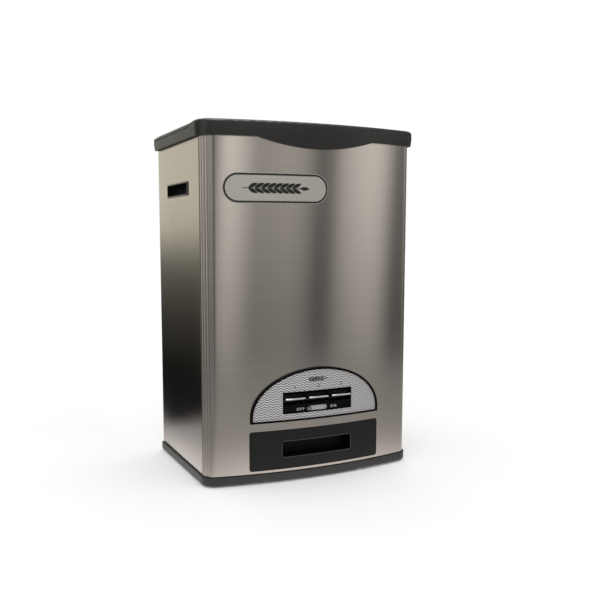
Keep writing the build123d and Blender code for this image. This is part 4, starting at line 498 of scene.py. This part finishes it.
shell = start(bpy.ops.mesh.primitive_plane_add, "steel_shell", size=1.0)
pick(shell, "verts", lambda part, middle: middle.x > 0)
bpy.ops.mesh.delete(type="VERT")
bpy.ops.mesh.select_all(action="SELECT")
bpy.ops.transform.translate(value=(0.5, 0.5, 0))
bpy.ops.transform.rotate(value=-pi / 2, orient_axis="X", center_override=ORIGIN)
bpy.ops.transform.resize(value=(1, 1, TALL), center_override=ORIGIN)
low = min(v.co.z for v in bmesh.from_edit_mesh(shell.data).verts)
bpy.ops.transform.translate(value=(0, FRONT, STEEL_LOW.z - low))
print("the edge is", round(TALL, 4), "m tall")


def carry_round(centre, angle, steps):
    """Spins the selected edge round an upright axis, seen from above against the clock."""
    bpy.ops.mesh.spin(steps=steps, angle=-angle, center=(*centre, 0), axis=(0, 0, 1))


def carry_to(piece, x, y):
    """Draws the selected edge out to a new place seen from above."""
    mesh = bmesh.from_edit_mesh(piece.data)
    here = next(v.co for v in mesh.verts if v.select)
    bpy.ops.mesh.extrude_region_move(
        TRANSFORM_OT_translate={"value": (x - here.x, y - here.y, 0)})

# %% Bow, beads and side
def corner_point(angle, radius):
    return CORNER_X + radius * cos(angle), CORNER_Y + radius * sin(angle)


corner_centre = (CORNER_X, CORNER_Y)
groove_start = BEAD_FIRST - BEAD_STEP / 2
carry_round((0, BOW_Y), CORNER_TURN, 44)
carry_round(corner_centre, groove_start - (CORNER_TURN - pi / 2), 5)
carry_to(shell, *corner_point(groove_start, GROOVE))
for number in range(3):
    angle = BEAD_FIRST + number * BEAD_STEP
    carry_round(corner_centre, BEAD_STEP / 2 - GROOVE_HALF, 2)
    carry_round(corner_point(angle, BEAD_ARM), 2 * BEAD_HALF, 14)
    carry_round(corner_centre, BEAD_STEP / 2 - GROOVE_HALF, 2)
last = groove_start + 3 * BEAD_STEP
carry_to(shell, SIDE, corner_point(last, GROOVE)[1])
carry_to(shell, SIDE, REAR - REAR_CORNER)
carry_round((SIDE - REAR_CORNER, REAR - REAR_CORNER), pi / 4, 4)
bpy.ops.mesh.select_all(action="SELECT")
bpy.ops.mesh.remove_doubles(threshold=SEAM)
leave()
print("half outline:", len(shell.data.vertices) // 2, "bends")

# %% [markdown]
# The half is mirrored, and its skin gets the thickness of the sheet, inwards. Then the panel's
# opening, the drawer's and the two hand holes are cut out with shaped blocks. A Boolean leaves
# clean edges there, because each strip of the bow is flat.

# %% Sheet thickness
modify(shell, "MIRROR", use_axis=(True, False, False), merge_threshold=SEAM)
edit_all(shell)
bpy.ops.mesh.normals_make_consistent(inside=False)
leave()
side_face = max(shell.data.polygons, key=lambda p: p.center.x)
if side_face.normal.x < 0:
    edit_all(shell)
    bpy.ops.mesh.flip_normals()
    leave()
modify(shell, "SOLIDIFY", thickness=SHEET, offset=-1.0, use_even_offset=True)
print("skin with thickness:", len(shell.data.polygons), "faces")

# %% Cutting the openings
DRAWER_LOW, DRAWER_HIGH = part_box("drawer_front")
PANEL_LOW, PANEL_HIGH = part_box("panel_bezel")
HAND_LOW, HAND_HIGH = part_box("right_hand_cup")
GAP = 0.6 * MM              # round the drawer's front
FRAME = 1.2 * MM            # how far a hand cup's frame laps over the sheet
INSET = 4.0 * MM            # how far the bezel laps over the sheet
BEFORE, BEHIND = 10 * MM, 40 * MM       # how far the drawer's block reaches past the front
PAST_SIDES = 0.3            # half the block that cuts both hand holes
PANEL_HALF = PANEL_HIGH.x - INSET
SPRING_Z = PANEL_LOW.z + 8.3 * MM       # where the panel's arch springs from its upright sides
ARCH = PANEL_HIGH.z - INSET - SPRING_Z


def cutter(name, low, high, axis, radius):
    """A block between two corners whose long edges along one axis are rounded."""
    block = start(bpy.ops.mesh.primitive_cube_add, name, size=1.0)
    bpy.ops.transform.resize(value=high - low, center_override=ORIGIN)
    bpy.ops.transform.translate(value=(high + low) / 2)
    pick(block, "edges", lambda part, middle:
         abs((part.verts[1].co - part.verts[0].co).normalized()[axis]) > 0.9)
    bpy.ops.mesh.bevel(offset=radius, segments=6)
    leave()
    return block


drawer_cut = cutter("drawer_cut",
                    Vector((DRAWER_LOW.x - GAP, FRONT - BEFORE, DRAWER_LOW.z - GAP)),
                    Vector((DRAWER_HIGH.x + GAP, FRONT + BEHIND, DRAWER_HIGH.z + GAP)),
                    1, 4.0 * MM)
hand_cut = cutter("hand_cut",
                  Vector((-PAST_SIDES, HAND_LOW.y + FRAME, HAND_LOW.z + FRAME)),
                  Vector((PAST_SIDES, HAND_HIGH.y - FRAME, HAND_HIGH.z - FRAME)), 0, 1.8 * MM)

panel_cut = start(bpy.ops.mesh.primitive_cylinder_add, "panel_cut", vertices=128, radius=1.0,
                  depth=50 * MM, rotation=(pi / 2, 0, 0))
fix_place(panel_cut)
edit_all(panel_cut)
bpy.ops.transform.resize(value=(PANEL_HALF, 1, ARCH), center_override=ORIGIN)
bpy.ops.transform.translate(value=(0, FRONT + 15 * MM, SPRING_Z))
bpy.ops.mesh.bisect(plane_co=(0, 0, SPRING_Z), plane_no=(0, 0, 1), use_fill=True,
                    clear_inner=True)
pick(panel_cut, "faces", lambda part, middle: part.normal.z < -0.9)
drop = PANEL_LOW.z + INSET - SPRING_Z
bpy.ops.mesh.extrude_region_move(TRANSFORM_OT_translate={"value": (0, 0, drop)})
for cut in (drawer_cut, hand_cut, panel_cut):
    combine(shell, "DIFFERENCE", cut)
settle(shell, "housing", shell_steel, "body_wrap", 32.0)

# %% [markdown]
# **Softened mouldings.** No moulded edge is knife-sharp: it has a small radius that catches a line
# of light, and that line tells the eye that the thing is real. A copy of the CAD part is cleaned
# up, its flat areas are joined, and its sharp edges are rounded by a Bevel modifier that is limited
# by angle. Weighted normals keep its large faces flat in the light. The copy then stands for the
# CAD part.

# %% A mended corner
FAN_X, FAN_Y, FAN_Z = (134.5 * MM, 151.6 * MM), -101.0 * MM, 498.2 * MM
FAN_FACES = 16
ROWS_X, ROW_HALF, ROW_WIDTH = (135.77 * MM, 150.55 * MM), 0.6 * MM, 1.0 * MM


def mend_corner(piece):
    """The rim's right front corner came with a fan of long triangles that shows as a dent: it is
    taken out, its two upright rows of points are bridged, and the slit left on top is closed."""
    def near(v):
        return FAN_X[0] < v.co.x < FAN_X[1] and v.co.y < FAN_Y and v.co.z > FAN_Z

    def row(v):
        return near(v) and min(abs(v.co.x - x) for x in ROWS_X) < ROW_HALF

    def same_row(part):
        first, second = part.verts
        return row(first) and row(second) and abs(first.co.x - second.co.x) < ROW_WIDTH

    fans = pick(piece, "verts",
                lambda part, middle: near(part) and len(part.link_edges) > FAN_FACES)
    found = pick(piece, "faces", lambda part, middle: all(near(v) for v in part.verts))
    print("fans", fans, "with", found, "faces")
    if fans == 1 and found == FAN_FACES:
        bpy.ops.mesh.delete(type="FACE")
        pick(piece, "edges", lambda part, middle: part.is_boundary and same_row(part))
        bpy.ops.mesh.bridge_edge_loops()
        pick(piece, "edges", lambda part, middle: part.is_boundary)
        bpy.ops.mesh.edge_face_add()

# %% Softened copies
FLAT, SHARP = radians(0.3), radians(32)


def soften(node, radius, finish=None, segments=2, smooth=35.0, mend=None):
    """Puts a copy of a CAD part with rounded edges in its place."""
    piece = bpy.data.objects.new(f"{node}_soft", frame["nodes"][node].data.copy())
    bpy.context.scene.collection.objects.link(piece)
    take(piece)
    bpy.ops.mesh.customdata_custom_splitnormals_clear()
    edit_all(piece)
    bpy.ops.mesh.remove_doubles(threshold=WELD)
    if mend:
        mend(piece)
    bpy.ops.mesh.select_all(action="SELECT")
    bpy.ops.mesh.dissolve_limited(angle_limit=FLAT)
    modify(piece, "BEVEL", width=radius, segments=segments, limit_method="ANGLE",
           angle_limit=SHARP, use_clamp_overlap=True, miter_outer="MITER_ARC")
    slot = SLOTS[node]
    settle(piece, BODIES[node], finish or FINISHES[slot], node, smooth)
    return modify(piece, "WEIGHTED_NORMAL", weight=100, keep_sharp=True)


soften("top_rim", 1.2 * MM, segments=3, mend=mend_corner)
soften("lid_panel", 1.0 * MM)
soften("base_plinth", 0.6 * MM, base_mould)
soften("back_panel", 0.25 * MM, smooth=3.0)
soften("panel_bezel", 0.5 * MM)
soften("drawer_front", 0.6 * MM)
soften("key_window", 0.15 * MM)
soften("slide_switch", 0.2 * MM)
soften("face_plate", 0.1 * MM)
soften("badge_plate", 0.2 * MM)
for number in (1, 2, 3):
    soften(f"measuring_key_{number}", 0.25 * MM)
for side in ("left", "right"):
    soften(f"{side}_hand_cup", 0.5 * MM, cup_gloss, segments=3)

# %% [markdown]
# ** Painted highlights on the keys.** Each key ends in a glossy lip that catches a white line of
# light. That line is painted: a short round bar of bright metal is laid along each of the three
# lips, and a bevel rounds it at both ends. Each bar rides on its own key.

# %% Key highlight bars
KEY_PITCH = (WINDOW_HIGH.x - WINDOW_LOW.x - 5.2 * MM) / 3
LIP_Z = WINDOW_HIGH.z - 12.7 * MM
HIGHLIGHT_BAR_R, HIGHLIGHT_BAR_LONG, HIGHLIGHT_BAR_SUNK = 1.3 * MM, 31 * MM, 0.6 * MM


def key_ridge(number):
    lip_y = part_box(f"measuring_key_{number}")[0].y
    highlight_bar = start(bpy.ops.mesh.primitive_cylinder_add, f"key_ridge_{number}", vertices=20,
                  radius=HIGHLIGHT_BAR_R, depth=HIGHLIGHT_BAR_LONG, rotation=(0, pi / 2, 0),
                  location=((number - 2) * KEY_PITCH, lip_y + HIGHLIGHT_BAR_SUNK, LIP_Z))
    pick(highlight_bar, "edges",
         lambda part, middle: abs(part.verts[0].co.z - part.verts[1].co.z) < WELD)
    bpy.ops.mesh.bevel(offset=0.7 * MM, segments=3)
    # The bar's bright metal is a painted highlight along the key's lip.
    return settle(highlight_bar, f"key_{number}", highlight_bar_metal, smooth=60.0)


for number in (1, 2, 3):
    key_ridge(number)

# %% [markdown]
# **The slot's edge and the switch's ring.** The slot's edge follows the bowed drawer. A flat ring
# is far easier to draw than a bowed one, so a thick flat ring is drawn, and only the part of it
# that lies in a thin layer on the bow is kept. Two round walls as large as the bow do the cutting.

# %% Slot edge
SLOT_W, SLOT_H, SLOT_UP = 110.6 * MM, 22.7 * MM, 16.3 * MM
EDGE_IN, EDGE_OUT = -0.15 * MM, 0.35 * MM
WALL_H = 0.2


def on_bow(piece, inner, outer):
    """Keeps what lies between two offsets of the bowed front."""
    middle = piece.data.vertices[0].co.z
    for name, out, operation in (("near_wall", outer, "INTERSECT"),
                                 ("far_wall", inner, "DIFFERENCE")):
        wall = start(bpy.ops.mesh.primitive_cylinder_add, name, vertices=1080,
                     radius=BOW_R + out, depth=WALL_H, location=(0, BOW_Y, middle))
        fix_place(wall)
        combine(piece, operation, wall)
    return piece


slot_low = Vector((-SLOT_W / 2, FRONT - 5 * MM, DRAWER_LOW.z + SLOT_UP))
slot_high = Vector((SLOT_W / 2, FRONT + 12 * MM, DRAWER_LOW.z + SLOT_UP + SLOT_H))
EDGE = Vector((0.7 * MM, 0, 0.7 * MM))
THROUGH = Vector((0, 10 * MM, 0))
slot_edge = cutter("slot_edge", slot_low - EDGE, slot_high + EDGE, 1, 4.0 * MM)
hole = cutter("hole", slot_low - THROUGH, slot_high + THROUGH, 1, 3.0 * MM)
combine(slot_edge, "DIFFERENCE", hole)
on_bow(slot_edge, EDGE_IN, EDGE_OUT)
modify(slot_edge, "BEVEL", width=0.12 * MM, segments=2, limit_method="ANGLE",
       angle_limit=radians(50))
settle(slot_edge, "drawer", slot_trim)

# %% Switch ring
SWITCH_LOW, SWITCH_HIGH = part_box("slide_switch")
SWITCH_X, SWITCH_Z = -13.5 * MM, (SWITCH_LOW.z + SWITCH_HIGH.z) / 2
ring = start(bpy.ops.mesh.primitive_torus_add, "switch_ring", major_segments=36,
             minor_segments=10, major_radius=2.9 * MM, minor_radius=0.45 * MM,
             rotation=(pi / 2, 0, 0), location=(SWITCH_X, SWITCH_LOW.y, SWITCH_Z))
settle(ring, "switch", dark_ink)

# %% [markdown]
# **Printed words and numbers.** A switch may say ON and OFF, and the keys are numbered by how many
# cups they give. Text starts as a text object, gets a thickness, and is made a mesh. It is stood
# upright and turned so that it lies flat against the bow where it is printed.

# %% Words and numbers
FACE_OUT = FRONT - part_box("face_plate")[0].y
PRINT_HALF = 0.09 * MM      # half the print's thickness
BOLD, SPACING = 0.22 * MM, 1.5
WORD_X, WORD_SIZE = 26.5 * MM, 5.4 * MM
NUMBER_UP, NUMBER_SIZE = 3.6 * MM, 6.6 * MM


def letters(name, words, x, z, size, finish, y=None):
    """Prints words at a depth, or on the bowed face where none is given."""
    leave()
    on_face = y is None
    bpy.ops.object.text_add(rotation=(pi / 2, 0, asin(x / BOW_R) if on_face else 0.0),
                            location=(x, on_front(x, FACE_OUT) if on_face else y, z))
    piece = bpy.context.object
    piece.data.body, piece.data.size, piece.data.extrude = words, size, PRINT_HALF
    piece.data.offset, piece.data.space_character = BOLD, SPACING
    piece.data.align_x, piece.data.align_y = "CENTER", "CENTER"
    bpy.ops.object.convert(target="MESH")
    piece = bpy.context.object
    piece.name = piece.data.name = name
    edit_all(piece)
    bpy.ops.mesh.remove_doubles(threshold=WELD)
    return settle(piece, "housing", finish)


for words, x in (("OFF", -WORD_X), ("ON", WORD_X)):
    letters(f"switch_word_{words.lower()}", words, x, SWITCH_Z, WORD_SIZE,
            pale_ink, WINDOW_Y)
for number in (1, 2, 3):
    letters(f"key_number_{number}", str(number), (number - 2) * KEY_PITCH,
            WINDOW_HIGH.z + NUMBER_UP, NUMBER_SIZE, dark_ink)

# %% [markdown]
# **An ear of rice.** The space at the top of the panel and the plate above it carry an ear of rice,
# as old a pattern as the waves. One grain is a sphere that is flattened and drawn to a point. It is
# copied in pairs that lean away from a stalk, each laid on the bow where it comes, and joined.

# %% Ears of rice
GRAIN_THICK, GRAIN_WIDE = 0.16 * MM, 0.36           # the width as a share of the length
GRAIN_POINT = ((0.7, 0.72), (0.3, 0.94))            # past this share of it, so much narrower
GRAIN_LEAN, GRAIN_OFF = radians(24), 0.52
STALK_THICK, STALK_WIDE, STALK_BENDS = 0.2 * MM, 0.12, 24
PLATE_OUT = 0.8 * MM


def grain_of(size):
    """One grain that lies along x, its half length given."""
    grain = start(bpy.ops.mesh.primitive_uv_sphere_add, "grain", segments=12, ring_count=8,
                  radius=1.0)
    bpy.ops.transform.rotate(value=pi / 2, orient_axis="Y", center_override=ORIGIN)
    bpy.ops.transform.resize(value=(size, GRAIN_THICK, size * GRAIN_WIDE),
                             center_override=ORIGIN)
    for spot, narrow in GRAIN_POINT:
        pick(grain, "verts", lambda part, middle: abs(middle.x) > spot * size)
        bpy.ops.transform.resize(value=(1, 1, narrow), center_override=ORIGIN)
    leave()
    return grain


def ear(name, x, z, out, length, pairs, size):
    """An ear of rice that lies level, with its tip to the right."""
    grain = grain_of(size)
    places = [(x - length / 2 + size * 0.6 + number * (length - 2 * size) / pairs, side)
              for number in range(pairs) for side in (-1, 1)]
    copies = []
    for spot, side in places + [(x + length / 2 - size, 0)]:
        copy = grain.copy()
        copy.data = grain.data.copy()
        bpy.context.scene.collection.objects.link(copy)
        copy.rotation_euler = (0, -side * GRAIN_LEAN, asin(spot / BOW_R))
        copy.location = (spot, on_front(spot, out), z + side * size * GRAIN_OFF)
        copies.append(copy)
    stalk = start(bpy.ops.mesh.primitive_plane_add, "stalk", size=1.0)
    bpy.ops.transform.rotate(value=pi / 2, orient_axis="Y", center_override=ORIGIN)
    bpy.ops.transform.resize(value=(1, STALK_THICK, size * STALK_WIDE), center_override=ORIGIN)
    left, right = x - length * 0.62, x + length / 2 - 1.6 * size
    bpy.ops.transform.translate(value=(0, FRONT - out, z))
    turn = asin(left / BOW_R)
    bpy.ops.transform.rotate(value=-turn, orient_axis="Z", center_override=(0, BOW_Y, 0))
    bpy.ops.mesh.spin(steps=STALK_BENDS, angle=-(asin(right / BOW_R) - turn),
                      center=(0, BOW_Y, 0), axis=(0, 0, 1))
    bpy.ops.mesh.select_all(action="SELECT")
    bpy.ops.mesh.remove_doubles(threshold=WELD)
    bpy.ops.mesh.normals_make_consistent(inside=False)
    leave()
    bpy.data.objects.remove(grain)
    take(stalk)
    for copy in copies:
        copy.select_set(True)
    bpy.ops.object.join()
    stalk.name = stalk.data.name = name
    return settle(stalk, "housing", dark_ink)


ear("panel_ear", 0.0, WINDOW_HIGH.z + 13.5 * MM, FACE_OUT, 30 * MM, 5, 3.2 * MM)
ear("plate_ear", PLATE_X + 4 * MM, PLATE_Z, PLATE_OUT, 86 * MM, 8, 7.2 * MM)

# %% [markdown]
# **The camera** stands left of the front and a little above the object's middle, as the
# photographer did. Its place was worked out from the steel body's upright edges and level lines.

# %% Camera
CAMERA_PLACE, LOOK_DOWN, LOOK_ROLL, LOOK_RIGHT = (-0.49154, -1.06128, 0.347675), 6.48, 0.06, 24.72
OBJECT_MIDDLE = Vector((0, 0, 0.25))
camera = bpy.data.objects.new("camera", bpy.data.cameras.new("camera"))
bpy.context.scene.collection.objects.link(camera)
camera.location = CAMERA_PLACE
camera.rotation_euler = (radians(90 - LOOK_DOWN), radians(LOOK_ROLL), radians(-LOOK_RIGHT))
camera.data.lens, camera.data.sensor_width = 45.286, 36.0
camera.data.shift_x, camera.data.shift_y = 0.03, 0.0367
bpy.context.scene.camera = camera
print("camera", round((camera.location - OBJECT_MIDDLE).length, 3), "m from the object")

# %% [markdown]
# **Light.** A white world lights everything evenly, so that each colour looks as it is written, and
# one large soft lamp gives the shapes a brighter side. The floor is white and keeps the shadow.

# %% World, floor and lamp
world = bpy.data.worlds.new("studio")
bpy.context.scene.world = world
world.use_nodes = True
world.node_tree.nodes["Background"].inputs["Color"].default_value = (1, 1, 1, 1)
world.node_tree.nodes["Background"].inputs["Strength"].default_value = 1.0

paper = Finish("paper")
seen = paper.node("ShaderNodeLightPath", {}, {}, "Is Camera Ray")
paper_glow = paper.blend(seen, (0, 0, 0, 1), (0.05, 0.05, 0.05, 1))
paper_white = paper.cover(Base_Color=(0.98, 0.98, 0.98, 1), Roughness=0.9,
                          Emission_Color=paper_glow, Emission_Strength=1.0)
floor = start(bpy.ops.mesh.primitive_plane_add, "floor", size=30.0)
leave()
floor.data.materials.append(paper_white)
floor.visible_glossy = False

lamp = bpy.data.objects.new("soft_lamp", bpy.data.lights.new("soft_lamp", "AREA"))
bpy.context.scene.collection.objects.link(lamp)
lamp.data.shape, lamp.data.size, lamp.data.energy = "DISK", 1.6, 6.0
lamp.location = (-0.9, -1.7, 2.0)
lamp.rotation_euler = (OBJECT_MIDDLE - lamp.location).to_track_quat("-Z", "Y").to_euler()
lamp.visible_glossy = False
print("lamp of", lamp.data.energy, "W")

# %% [markdown]
# **What the steel reflects.** Steel shows its room, and a photographer shapes that room with pale
# and dark cards. Here it is one tall drum round the object, seen by reflections alone: pale above,
# dark towards its foot, with a few dark uprights. A pale table darkens away from the object, and a
# bright round card hangs above it. All three glow only where a reflection looks at them.

# %% Studio drum
DRUM_R, DRUM_H = 1.1, 1.7
TABLE_UP = 0.5 * MM
CEILING_R, CEILING_Y, CEILING_LEVEL = 0.55, -0.35, 5.0
UNLIT = (0, 0, 0, 1)
drum = start(bpy.ops.mesh.primitive_cylinder_add, "studio_drum", vertices=96, radius=DRUM_R,
             depth=DRUM_H, location=(0, 0, DRUM_H / 2), end_fill_type="NOTHING")
fix_place(drum)
table = start(bpy.ops.mesh.primitive_circle_add, "studio_table", vertices=96, radius=DRUM_R,
              fill_type="NGON", location=(0, 0, TABLE_UP))
ceiling = start(bpy.ops.mesh.primitive_circle_add, "studio_ceiling", vertices=64,
                radius=CEILING_R, fill_type="NGON", location=(0, CEILING_Y, DRUM_H))
leave()


def reflected(name, level_of):
    """A card that glows at a level worked out from its own place."""
    card = Finish(name)
    glow = {"Color": level_of(card), "Strength": 1.0}
    return card.end_in(card.node("ShaderNodeEmission", {}, glow))


def ramp(card, value, low, high, stops):
    """A level that follows stops of (value, level) between two ends."""
    share = (value - low) / (high - low)
    places = [((spot - low) / (high - low), level) for spot, level in stops]
    return card.node("ShaderNodeValToRGB", {"stops": places}, {0: share})

# %% [markdown]
# The drum's level changes mostly by its bearing, in degrees from straight ahead with the right side
# counted up. Its uprights lean a little, as the cards of a studio do. The side behind on the left,
# which lights the object's left side, has a ramp of its own from its foot up.

# %% Levels of the cards
ROUND = [(-150, 1.0), (-132, 0.35), (-100, 0.12), (-84, 0.3), (-76, 1.0), (-56, 1.0), (-49, 0.42),
         (-34, 0.40), (-24, 0.42), (-19, 0.46), (-15.8, 0.20), (-12, 0.08), (-8.2, 0.92),
         (-4.9, 1.0), (-0.4, 0.70), (3.2, 0.44), (15.6, 0.53), (21, 0.45), (26.5, 0.18),
         (30.8, 0.24), (35.2, 0.60), (39.4, 0.76), (45, 0.90), (50, 0.86), (54.5, 0.46),
         (57, 0.20), (63, 0.24), (80, 0.48), (98, 0.10), (128, 0.12), (150, 0.92)]
FRONT_UP = [(0.0, 0.40), (0.04, 0.45), (0.10, 0.50), (0.164, 0.56), (0.21, 0.62), (0.26, 0.69),
            (0.36, 0.80), (0.46, 0.91), (0.55, 1.0)]
LEFT_UP = [(0.0, 0.014), (0.07, 0.03), (0.13, 0.05), (0.20, 0.09), (0.262, 0.15), (0.318, 0.35),
           (0.374, 0.64), (0.46, 0.71)]
BEHIND_LEFT = [(-180, 0.0), (-174, 0.4), (-169, 1.0), (-152, 1.0), (-128, 0.0)]
UP_TO = 0.6                 # the height at which both upward ramps end
LEAN_FROM, LEAN_RATE = 0.7, 6           # the height where no upright is moved, degrees a metre
NEAR = [(0.15, 1.0), (0.19, 0.88), (0.28, 0.58), (0.39, 0.38), (0.64, 0.33), (1.1, 0.30)]


def drum_level(card):
    x, y, z = card.axis("X"), card.axis("Y"), card.axis("Z")
    bearing = x.apply("ARCTAN2", 0.0 - y) * (180 / pi)
    uprights = ramp(card, bearing + (LEAN_FROM - z) * LEAN_RATE, -180, 180, ROUND)
    front_up = ramp(card, z, 0.0, UP_TO, FRONT_UP)
    left_up = ramp(card, z, 0.0, UP_TO, LEFT_UP)
    behind_left = ramp(card, bearing, -180, 180, BEHIND_LEFT)
    level = uprights * (left_up * behind_left + front_up * (1 - behind_left))
    warm = card.blend(behind_left, (1, 0.98, 0.95, 1), (1, 0.965, 0.82, 1))
    return card.blend(level, UNLIT, warm)


def table_level(card):
    x, y = card.axis("X"), card.axis("Y")
    away = (x * x + y * y).apply("SQRT")
    near = ramp(card, away, 0.0, DRUM_R, NEAR)
    left = ramp(card, x, -0.3, 0.0, [(-0.22, 1.0), (-0.18, 0.0)])
    far = ramp(card, y, 0.2, 0.5, [(0.235, 0.0), (0.285, 0.62), (0.33, 1.0)])
    near = near * (1 - left * 0.2) * (1 - left * far * 0.97)
    return card.blend(near, UNLIT, (1, 0.965, 0.955, 1))


def ceiling_level(card):
    return (CEILING_LEVEL,) * 3 + (1,)


for stand, name, level_of in ((drum, "drum_glow", drum_level), (table, "table_glow", table_level),
                              (ceiling, "ceiling_glow", ceiling_level)):
    stand.data.materials.append(reflected(name, level_of))
    stand.visible_camera = stand.visible_diffuse = stand.visible_shadow = False
    stand.visible_transmission = stand.visible_volume_scatter = False
print("the drum has", len(ROUND), "stops round it")

# %% [markdown]
# The colours are shown as they are.

# %% Colour view
bpy.context.scene.view_settings.view_transform = "Standard"
